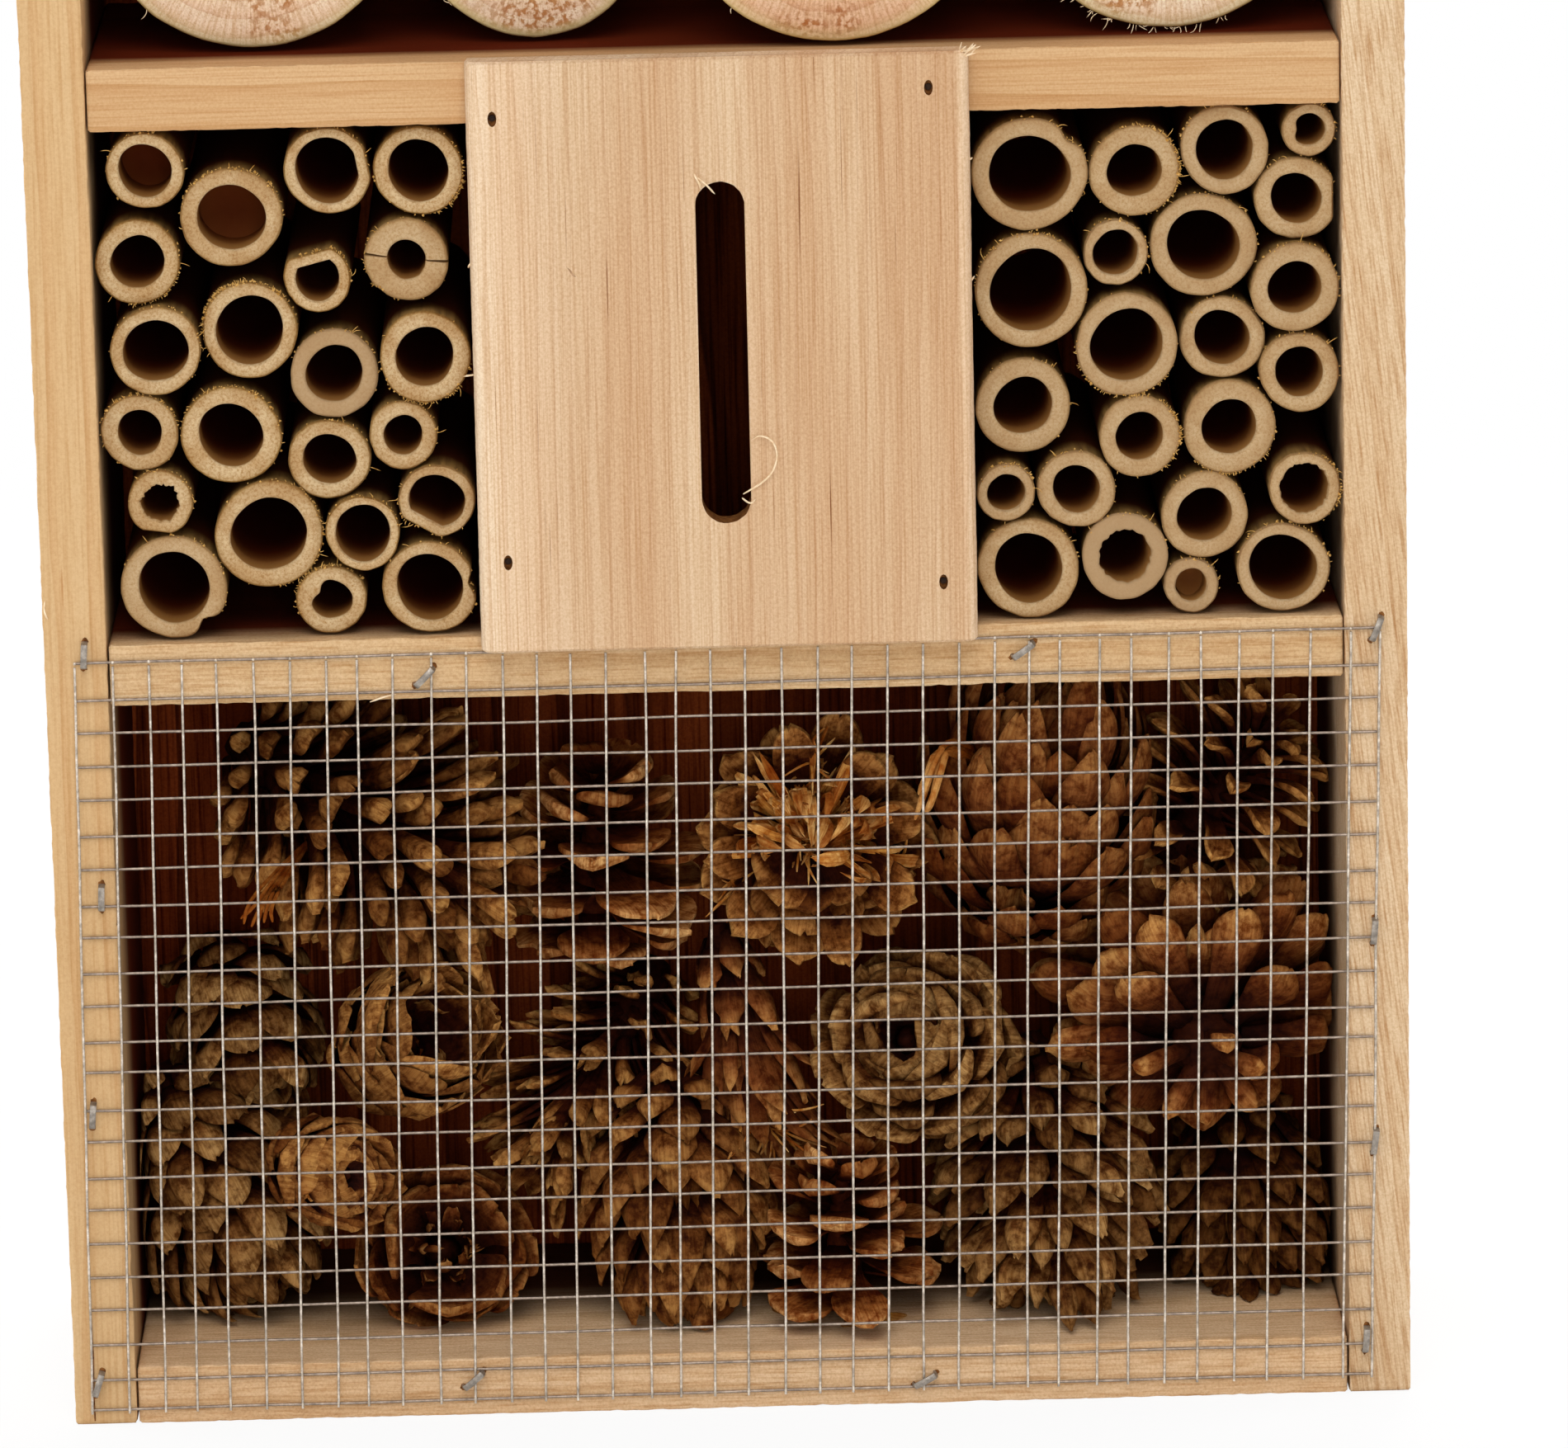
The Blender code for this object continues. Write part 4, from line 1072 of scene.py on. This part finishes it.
stub = dict(wide=4.4, tipRound=1.0, shoulder=0.7, neck=0.95, lip=3.6, web=3.2, curl=0.1, umbo=0, cup=0.0,
            old=-1, snapped=0)
shred = dict(tipRound=0.2, shoulder=0.8, neck=0.9, lip=0.5, web=0.6, umbo=0, cup=0.5, snapped=0.3)


def shreds(seed, count, around, tilts, lengths, curls, wides=(1.4, 3.4), heights=(0.3, 0.6), torn=True):
    # ribbons of scale, each with its own height on the core, turn, tilt, length, curl and width
    rng = random.Random(seed)
    made = []
    for k in range(count):
        t, turn, tilt, length = [rng.uniform(*limits) for limits in (heights, around, tilts, lengths)]
        curl = rng.choice((-1, 1)) * rng.uniform(*curls)
        wide = rng.uniform(*wides)
        made.append(dict(shred, t=t, turn=turn, tilt=tilt, length=length, curl=curl, wide=wide, torn=torn))
    return made


brokenStubs = [
    dict(stub, t=0.05, turn=turn, tilt=tilt, length=length, rootShare=root) for turn, tilt, length, root in (
        (20, 135, 12, 0.3), (125, 135, 13, 0.3), (255, 140, 10, 0.7), (320, 140, 10, 0.3), (75, 128, 12, 0.3),
        (180, 126, 14, 0.8))]
innerPetals = [
    dict(petal, t=t, turn=turn, tilt=tilt, length=length, wide=9.5) for t, tilt, length, row in (
        (0.56, 66, 15, (25, 58, 90, 122, 155)), (0.72, 52, 12, (42, 74, 106, 138))) for turn in row]
hangingPetals = [
    dict(petal, t=0.12, turn=turn, tilt=tilt, length=15, wide=7, curl=-0.2, torn=True) for turn, tilt in (
        (60, 150), (130, 145), (20, 140), (165, 140))]
cones = {
    "01": dict(tongue, tip=(0.8, -0.3, -0.5), shift=(2, -6, -5), long=58, girth=50, scales=150, wide=5.4,
               open=(60, 46, 14)),
    "02": dict(petal, tip=(0.1, -0.2, 0.96), shift=(2, -6, 0), long=44, girth=42, scales=32, wide=15,
               open=(105, 92, 60), finish="fresh"),
    "03": dict(petal, tip=(0, -1, 0.05), shift=(1, 0, 1), long=32, girth=47, scales=52, wide=10,
               open=(88, 60, 45), last=0.6, finish="weathered", old=-0.5,
               tufts={"count": 22, "fibres": 11, "long": 10, "spread": 0.7, "bend": 4.0},
               extra=shreds(31, 170, (160, 380), (34, 96), (8, 21), (0.6, 3.2), (0.9, 2.9), (0.45, 0.85)) +
               innerPetals),
    "04": dict(shut, tip=(0.12, -0.4, 0.9), shift=(0, 1, -5), long=46, girth=62, scales=132, wide=11,
               open=(68, 48, 16), curl=0.95, finish="ripe", old=0.55),
    "05": dict(tongue, tip=(0.5, -0.3, 0.78), shift=(-1, -7, 0), long=42, girth=40, scales=56,
               open=(85, 66, 30), lip=1.9, web=1.2, curl=-0.6, cup=0.4, old=-0.8),
    "06": dict(shut, tip=(0.25, -0.55, -0.75), shift=(-1, -4, 1), long=34, girth=38, scales=48, wide=11.5,
               open=(78, 62, 30), lip=1.7, curl=1.05, umbo=1.0, finish="grey"),
    "07": dict(basket, tip=(0.45, -0.75, 0.48), shift=(-1.5, -1, -2.5), long=40, girth=49, scales=92, wide=15,
               last=0.6, old=-0.15, extra=shreds(71, 22, (0, 360), (20, 60), (6, 13), (0.3, 1.4))),
    "08": dict(tongue, tip=(-0.5, -0.5, -0.7), shift=(3, -9, -5), long=50, girth=38, scales=92, wide=4.8,
               open=(64, 42, 16), tipRound=0.1, lip=1.6, web=1.2, snapped=0.4, unruly=16, old=-0.6),
    "09": dict(shut, tip=(0.15, -0.25, -0.95), shift=(-5, -14, -2), long=46, girth=31, scales=38, wide=7.5,
               open=(32, 18, 8), tipRound=0.1, lip=1.1, umbo=0, longest=1.1, snapped=0.5, finish="ripe",
               old=-0.7, tufts={"count": 6, "fibres": 9, "long": 16, "spread": 0.9, "bend": 1.6},
               extra=shreds(91, 44, (0, 360), (8, 34), (16, 34), (0.1, 0.6), (2.5, 6), torn=False)),
    "10": dict(petal, tip=(-0.3, -0.9, 0.32), shift=(-1, 0, 0), long=36, girth=53, scales=46, wide=15,
               open=(62, 44, 26), last=0.84, nest=0.85, lip=3.6, web=1.6, curl=0.45, umbo=0.6, cup=0.22,
               finish="grey", old=0.2),
    "11": dict(petal, tip=(-0.12, 0.8, 0.5), shift=(-2, 1, 1), long=44, girth=60, scales=84, wide=10.5,
               open=(96, 82, 40), first=0.1, lip=3.4, extra=brokenStubs),
    "12": dict(shut, tip=(0.42, -0.42, -0.76), shift=(-5, 1, 4), long=46, girth=52, scales=100, wide=9.6,
               open=(76, 60, 28), lip=2.2, curl=1.0, umbo=1.0, finish="grey", old=0.25),
    "13": dict(basket, tip=(0.55, -0.82, -0.05), shift=(-5, -9, 6), long=28, girth=35, scales=70, wide=12.5,
               last=0.85, lip=1.5, old=0.35, extra=shreds(131, 8, (0, 360), (10, 50), (4, 9), (0.3, 1.2))),
    "14": dict(petal, tip=(0.1, -0.9, 0.35), shift=(-4, -5, -3), long=30, girth=47, scales=40, wide=14,
               open=(66, 46, 36), last=0.6, nest=0.6, curl=0.6, old=0.25,
               extra=shreds(141, 44, (0, 360), (10, 60), (5, 11), (0.3, 1.6), torn=False)),
    "15": dict(shut, tip=(0.05, -0.3, -0.94), shift=(3, 3, 6), long=44, girth=46, scales=104, wide=8.4,
               open=(70, 54, 24), tipRound=0.3, lip=2.4, curl=0.8, umbo=1.0, old=0.3),
    "16": dict(petal, tip=(0, -0.2, 0.97), shift=(-4, -4, 0), long=42, girth=39, scales=38, wide=11.5,
               open=(120, 98, 50), first=0.3, stalk=4, finish="fresh", extra=hangingPetals),
    "17": dict(knob, tip=(0.12, -0.3, -0.94), shift=(-1, 2, 7), long=46, girth=46, scales=140, wide=7.2,
               open=(55, 40, 12), tipRound=0.25, lip=3.0, lop=(12, 60), old=0.25),
    # cone 18 is dull and dark all over: painted shade
    "18": dict(knob, tip=(0.1, -0.3, -0.94), shift=(0, 5, 3), long=38, girth=38, scales=96, wide=6.2,
               open=(44, 31, 10), lip=2.8, old=1.0),
}
# torn stalks: thickness, how pale from root to tip, and each fibre's points from inside its cone outwards
twigs = {
    "stalk": {"thick": 1.3, "pale": (0.4, 1.0), "lines": (
        ((46, 22, 118), (40, 12, 123.5), (37.0, 8, 118.9), (35.6, 7, 115.0), (33.6, 7, 109.4)),
        ((46, 22, 116), (40, 11, 122.4), (38.6, 7, 118.6), (36.6, 6, 112.6), (35.4, 7, 110.4)),
        ((46, 22, 117), (39, 12, 123.0), (37.8, 8, 117.0), (36.9, 7, 113.4)),
        ((45, 22, 116), (38, 11, 122.0), (36.0, 8, 117.4), (34.4, 8, 113.8)))},
    "tuft": {"thick": 0.75, "pale": (0.0, 0.45), "lines": (
        ((-78, 26, 103), (-84, 12, 99.5), (-87.0, 6, 96.4), (-89.6, 6, 94.2)),
        ((-78, 26, 102), (-84, 12, 99), (-86.6, 6, 95.0), (-87.7, 6, 92.6)),
        ((-78, 26, 102), (-83, 12, 99), (-85.0, 6, 95.6), (-85.4, 6, 93.3)),
        ((-78, 26, 103), (-84, 12, 98.6), (-86.0, 5, 95.4), (-86.6, 6, 93.0)),
        ((-78, 26, 103), (-85, 12, 99.6), (-88.4, 6, 96.6), (-89.0, 5, 93.4)),
        ((-78, 26, 102), (-82, 12, 99), (-84.2, 6, 95.8), (-83.8, 6, 93.4)))},
}
coneCore = 0.2  # of the girth
tuftThick = 0.55
goldenAngle = 137.508  # from each scale to the next
acrossSteps, alongSteps = 7, 12


def scaleFaces():
    # the faces of one scale: inner skin, outer skin and the rim between them
    count = acrossSteps * alongSteps
    faces = []
    for row in range(alongSteps - 1):
        for k in range(acrossSteps - 1):
            a = row * acrossSteps + k
            faces.append((a, a + 1, a + acrossSteps + 1, a + acrossSteps))
            faces.append((count + a, count + a + acrossSteps, count + a + acrossSteps + 1, count + a + 1))
    rim = list(range(acrossSteps))
    rim += [row * acrossSteps + acrossSteps - 1 for row in range(1, alongSteps)]
    rim += [(alongSteps - 1) * acrossSteps + k for k in range(acrossSteps - 2, -1, -1)]
    rim += [row * acrossSteps for row in range(alongSteps - 2, 0, -1)]
    for a, b in zip(rim, rim[1:] + rim[:1]):
        faces.append((a, count + a, count + b, b))
    return faces


scaleTemplate = scaleFaces()
alongSpots = 1 - (1 - np.linspace(0, 1, alongSteps)) ** 1.6
acrossGrid, alongGrid = np.meshgrid(np.sin(np.linspace(-1, 1, acrossSteps) * math.pi / 2), alongSpots)
alongStride = np.diff(alongSpots, prepend=0)[:, None]


def stacked(*skins):
    # the points of both skins of a scale, from the grids of their three values
    return np.concatenate([np.stack(skin, axis=-1).reshape(-1, 3) for skin in skins])


def scaleShape(look, length, wide, rng, snapped):
    # one scale in its own frame: x across, y root to tip, z towards the cone's axis
    v, u = alongGrid, acrossGrid
    shoulder, blunt = look["shoulder"], look["tipRound"]
    fall = np.clip((v - shoulder) / (1 - shoulder), 0, 1)
    width = look["neck"] + (1 - look["neck"]) * smooth(v / shoulder)
    width = width * np.maximum(0.12, (1 - fall ** (1 + 1.2 * blunt)) ** (1 - 0.5 * blunt))
    if snapped:
        width = np.maximum(width, 0.55)
    wavy = 0.1 * np.sin(8 * v + rng.uniform(0, 6)) + 0.1 * np.sign(u) * np.sin(5 * v + rng.uniform(0, 6))
    half = wide / 2 * width * (1 + wavy)
    x = u * half + 0.14 * wide * rng.uniform(-1, 1) * v ** 2
    angle = look["curl"] * v ** 2
    run = np.cumsum(np.cos(angle) * alongStride, axis=0) * length
    bend = np.cumsum(np.sin(angle) * alongStride, axis=0) * length + look["cup"] * half * u ** 2
    thick = look["web"] + (look["lip"] - look["web"]) * smooth((v - 0.4) / 0.4)
    thick = thick * np.sqrt(1 - 0.82 * u ** 2) * (1 - 0.6 * smooth((v - 0.86) / 0.14))
    ridge = 0.4 * (1 - u ** 2) + 0.6 * np.exp(-(u / 0.32) ** 2)
    knobbly = look["umbo"] * np.exp(-((v - 0.8) / 0.09) ** 2) * ridge
    if snapped:
        run = run + 0.12 * length * v * np.sin(u * 5 + rng.uniform(0, 6))
    run = run + 0.05 * wide * v * np.sin(u * 3 + rng.uniform(0, 6))
    bend = bend + 0.3 * np.sin(u * 3 + rng.uniform(0, 6)) * v + 0.25 * np.sin(v * 7 + rng.uniform(0, 6)) * u
    inner = (x, run, bend + 0.35 * thick)
    outer = (x, run + 0.15 * thick * v, bend - 0.65 * thick - knobbly)
    old = look["old"]  # 1 for dull and grey scales, -1 for bright ones
    chance = np.full_like(v, rng.random() * (1 - abs(old)) + max(0, -old))
    innerMark = (0.84 * v + 0.16 * v ** 3 * np.abs(u) ** 3, x, chance)
    eye = 0.2 * min(1, look["umbo"]) * np.exp(-((v - 0.8) / 0.08) ** 2 - (u / 0.35) ** 2)  # dark umbo
    outerMark = (np.clip(1.04 * v - eye, 0, 1), x, chance)
    return stacked(inner, outer), stacked(innerMark, outerMark)


def squeezed(points, margin=3.0):
    # keeps a cone inside its bay, pressing in what would stick out
    for k in range(3):
        over = points[:, k] - (bayHigh[k] - margin)
        pressed = bayHigh[k] - margin * np.exp(-np.maximum(over, 0) / margin)
        points[:, k] = np.where(over > 0, pressed, points[:, k])
        under = bayLow[k] + margin - points[:, k]
        pressed = bayLow[k] + margin * np.exp(-np.maximum(under, 0) / margin)
        points[:, k] = np.where(under > 0, pressed, points[:, k])
    return points


def coneShape(node, look, seed):
    rng = random.Random(seed * 101)
    shape = nodePoints(node)
    middle = (shape.min(0) + shape.max(0)) / 2 + np.array(look["shift"])
    axis = unit(np.array(look["tip"], float))
    sideways = unit(np.cross(axis, (0.2, 0.3, 0.93)))  # across a way that no cone lies
    upward = np.cross(axis, sideways)
    girth = look["girth"]
    coreRadius = coneCore * girth / 2

    def outwards(turn):
        return math.cos(turn) * sideways + math.sin(turn) * upward

    scales = []
    for k in range(look["scales"]):
        t = (k + 0.5) / look["scales"]
        if look["first"] <= t <= look["last"]:
            turn = goldenAngle * k + rng.uniform(-1, 1) * look["unruly"]
            tilt = np.interp(t, (0, 0.5, 1), look["open"]) + rng.uniform(-1, 1) * look["unruly"]
            tilt += look["lop"][0] * math.cos(math.radians(turn - look["lop"][1]))
            scales.append((look, t, turn, tilt, 0))
    for one in look["extra"]:
        scales.append((dict(coneDefaults, **one), one["t"], one["turn"], one["tilt"], one["length"]))
    points, marks, faces, finish = [], [], [], []
    total = 0
    for style, t, turn, tilt, length in scales:
        tilt = math.radians(tilt)
        outward = outwards(math.radians(turn))
        egg = math.sin(math.pi * (0.12 + 0.80 * t ** 0.75)) ** 0.8
        root = style["rootShare"] * coreRadius * (1.2 - 0.8 * t)
        snapped = rng.random() < style["snapped"]
        wide = style["wide"] * rng.uniform(0.82, 1.14)
        if not length:
            reach = girth / 2 * egg * (1 - look["nest"] * t) - root  # nested rows end in rings of their own
            length = min(max(reach / max(math.sin(tilt), 0.42), 5.0), girth * look["longest"])
            length *= rng.uniform(0.86, 1.08)
            wide *= 0.5 + 0.5 * egg
        if snapped:
            length *= rng.uniform(0.45, 0.8)
        local, mark = scaleShape(style, length, wide, rng, snapped)
        start = middle + axis * look["long"] * (t * 0.78 - 0.46) + outward * root
        heading = math.cos(tilt) * axis + math.sin(tilt) * outward
        normal = math.sin(tilt) * axis - math.cos(tilt) * outward
        points.append(start + local @ np.array([np.cross(heading, normal), heading, normal]))
        marks.append(mark)
        faces += moved(scaleTemplate, total)
        finish += [int(style["torn"])] * len(scaleTemplate)
        total += len(local)
    # the core that the scales grow from
    around, levels = 12, 9
    core = []
    for row in range(levels):
        t = row / (levels - 1)
        radius = coreRadius * (1.25 - 0.85 * t) * (0.5 if row in (0, levels - 1) else 1)
        high = look["long"] * (t * min(look["last"], 0.92) * 0.8 - 0.48) - (0 if row else look["stalk"])
        for k, angle in enumerate(turns(around)):
            uneven = 1 + 0.15 * ripple(k, row, 0.5, seed)
            core.append(middle + axis * high + radius * uneven * outwards(angle))
    faces += tubeFaces(levels, around, total)
    points.append(np.array(core))
    marks.append(np.tile((0.25, 0, 0.5), (len(core), 1)))
    finish += [0] * (len(faces) - len(finish))
    total += len(core)
    if look["tufts"]:
        tufts = look["tufts"]
        hairs = []
        for k in range(tufts["count"]):
            outward = outwards(rng.uniform(0, 6.283))
            reach = rng.uniform(0, tufts["spread"]) * girth / 2
            high = look["long"] * (look["last"] * 0.78 - 0.46 + rng.uniform(-0.12, 0.06))
            at = middle + axis * high + outward * reach
            heading = axis + outward * rng.uniform(0.1, 1.3)
            for fibre in range(tufts["fibres"]):
                apart = np.array([rng.uniform(-1, 1) for axisName in "xyz"])
                length = tufts["long"] * rng.uniform(0.4, 1.1)
                hairs.append(hairPath(rng, at + 0.9 * apart, heading + 0.3 * apart, length, tufts["bend"]))
        lump, lumpFaces = strandMesh(hairs, tuftThick, taper=(1, 0.3), start=total)
        points.append(np.array(lump))
        perHair = len(lump) // len(hairs)
        share = np.tile(np.repeat(np.linspace(0, 1, perHair // 4), 4), len(hairs))
        across = np.repeat([rng.uniform(0, 9) for hair in hairs], perHair)
        chance = np.repeat([rng.random() for hair in hairs], perHair)
        marks.append(np.stack([share, across, chance], axis=1))
        faces += lumpFaces
        finish += [1] * len(lumpFaces)
    return squeezed(np.concatenate(points)), faces, np.concatenate(marks), finish


for number, look in cones.items():
    look = dict(coneDefaults, **look)
    node = "pine_cone_" + number
    points, faces, marks, finish = coneShape(node, look, int(number))
    finishes = [coneMaterials[look["finish"]], coneFibre]
    makePiece("pineCone" + number, points, faces, finishes, [node], {"scale": marks}, finish, 70)
points, faces, marks = [], [], []
for look in twigs.values():
    paths = [rounded(line) for line in look["lines"]]
    lump, lumpFaces = strandMesh(paths, look["thick"], taper=(0.6, 0.3), sides=6, start=len(points))
    points += lump
    faces += lumpFaces
    for path in paths:
        marks += [(share, 0, 0.5) for share in np.linspace(*look["pale"], len(path)) for k in range(6)]
makePiece("coneTwigs", points, faces, [coneFibre], marks={"scale": marks})
print("cones made")


# floor, light and camera

scene = bpy.context.scene


def seenRays(tree):
    # 1 for rays that are seen, straight or mirrored or through something, and 0 for bounced light
    rays = addNode(tree, "LightPath").outputs
    seen = addNode(tree, "Math", {0: rays["Is Camera Ray"], 1: rays["Is Glossy Ray"]}, operation="MAXIMUM")
    return addNode(tree, "Math", {0: seen, 1: rays["Is Transmission Ray"]}, operation="MAXIMUM")


# White paper: matt, and so bright that it fades into the background away from the object
paper = {"colour": "#F1F0EE", "half": 6, "near": 0.15, "far": 0.8, "nearGlow": 0.9}  # in metres
floorMaterial, tree, shader = freshMaterial("white paper floor", 0.9)
shader.inputs["Base Color"].default_value = hexLinear(paper["colour"])
away = addNode(tree, "VectorMath", {0: addNode(tree, "NewGeometry")}, operation="LENGTH")
whiter = addNode(tree, "MapRange", {0: away, 1: paper["near"], 2: paper["far"], 3: paper["nearGlow"]})
share = addNode(tree, "Math", {0: seenRays(tree), 1: whiter}, operation="MULTIPLY")
glow = addNode(tree, "Emission", {"Color": (1, 1, 1, 1), "Strength": 1.0})
blend = addNode(tree, "MixShader", {0: share, 1: shader, 2: glow})
plug(tree, blend, tree.nodes["Material Output"].inputs["Surface"])
floorMesh = bpy.data.meshes.new("floor")
corners = [(x * paper["half"], y * paper["half"], 0) for x, y in ((-1, -1), (1, -1), (1, 1), (-1, 1))]
floorMesh.from_pydata(corners, [], [(0, 1, 2, 3)])
floorMesh.materials.append(floorMaterial)
floor = addObject("floor", floorMesh)

studio = {"ambient": 0.2, "aim": (0, 0, 0.17), "lamps": {
    "key": {"at": (-0.15, -1.6, 2.1), "size": 1.8, "power": 36},
    "fill": {"at": (0.1, -2.4, 0.5), "size": 0.8, "power": 11},
    "leftRim": {"at": (-1.4, -0.8, 0.28), "size": 0.5, "power": 2.4},
    "rightRim": {"at": (1.4, -0.8, 0.28), "size": 0.5, "power": 1.2},
    "left": {"at": (-2.0, 0.5, 0.7), "size": 1.0, "power": 22},
    "right": {"at": (2.0, 0.5, 0.7), "size": 1.0, "power": 22},
    "back": {"at": (0.3, 2.0, 0.9), "size": 1.2, "power": 25},
    "top": {"at": (0.0, 0.4, 2.3), "size": 1.2, "power": 18},
}}
world = bpy.data.worlds.new("studio")
scene.world = world
world.use_nodes = True
tree = world.node_tree
strength = addNode(tree, "MapRange", {0: seenRays(tree), 3: studio["ambient"], 4: 1.0})
plug(tree, strength, tree.nodes["Background"].inputs["Strength"])
tree.nodes["Background"].inputs["Color"].default_value = (1, 1, 1, 1)
for name, look in studio["lamps"].items():
    lampData = bpy.data.lights.new(name + "Lamp", "AREA")
    lampData.shape, lampData.size, lampData.energy = "SQUARE", look["size"], look["power"]
    lamp = addObject(name + "Lamp", lampData)
    lamp.location = look["at"]
    lamp.rotation_euler = (Vector(studio["aim"]) - Vector(look["at"])).to_track_quat("-Z", "Y").to_euler()
    lamp.visible_camera = False  # the key stands between the camera and the object

photoView = {  # fitted to the photograph's corners; at, in mm from the carcass's front
    "at": (-11.47, -1610.92, 538.17), "right": (0.9996, -0.0187, -0.02101), "up": (0.02495, 0.24536, 0.96911),
    "lens": 211.10, "sensor": 36,
}
cameraData = bpy.data.cameras.new("camera")
cameraData.sensor_fit, cameraData.sensor_width = "HORIZONTAL", photoView["sensor"]
cameraData.lens = photoView["lens"]
cameraData.clip_start, cameraData.clip_end = 0.05, 50
camera = addObject("camera", cameraData)
right, up = Vector(photoView["right"]).normalized(), Vector(photoView["up"]).normalized()
turned = Matrix((right, up, right.cross(up))).transposed().to_4x4()
turned.translation = (Vector(photoView["at"]) + Vector((0, frontY, 0))) * mm
camera.matrix_world = turned
scene.camera = camera
scene.view_settings.view_transform = "Standard"
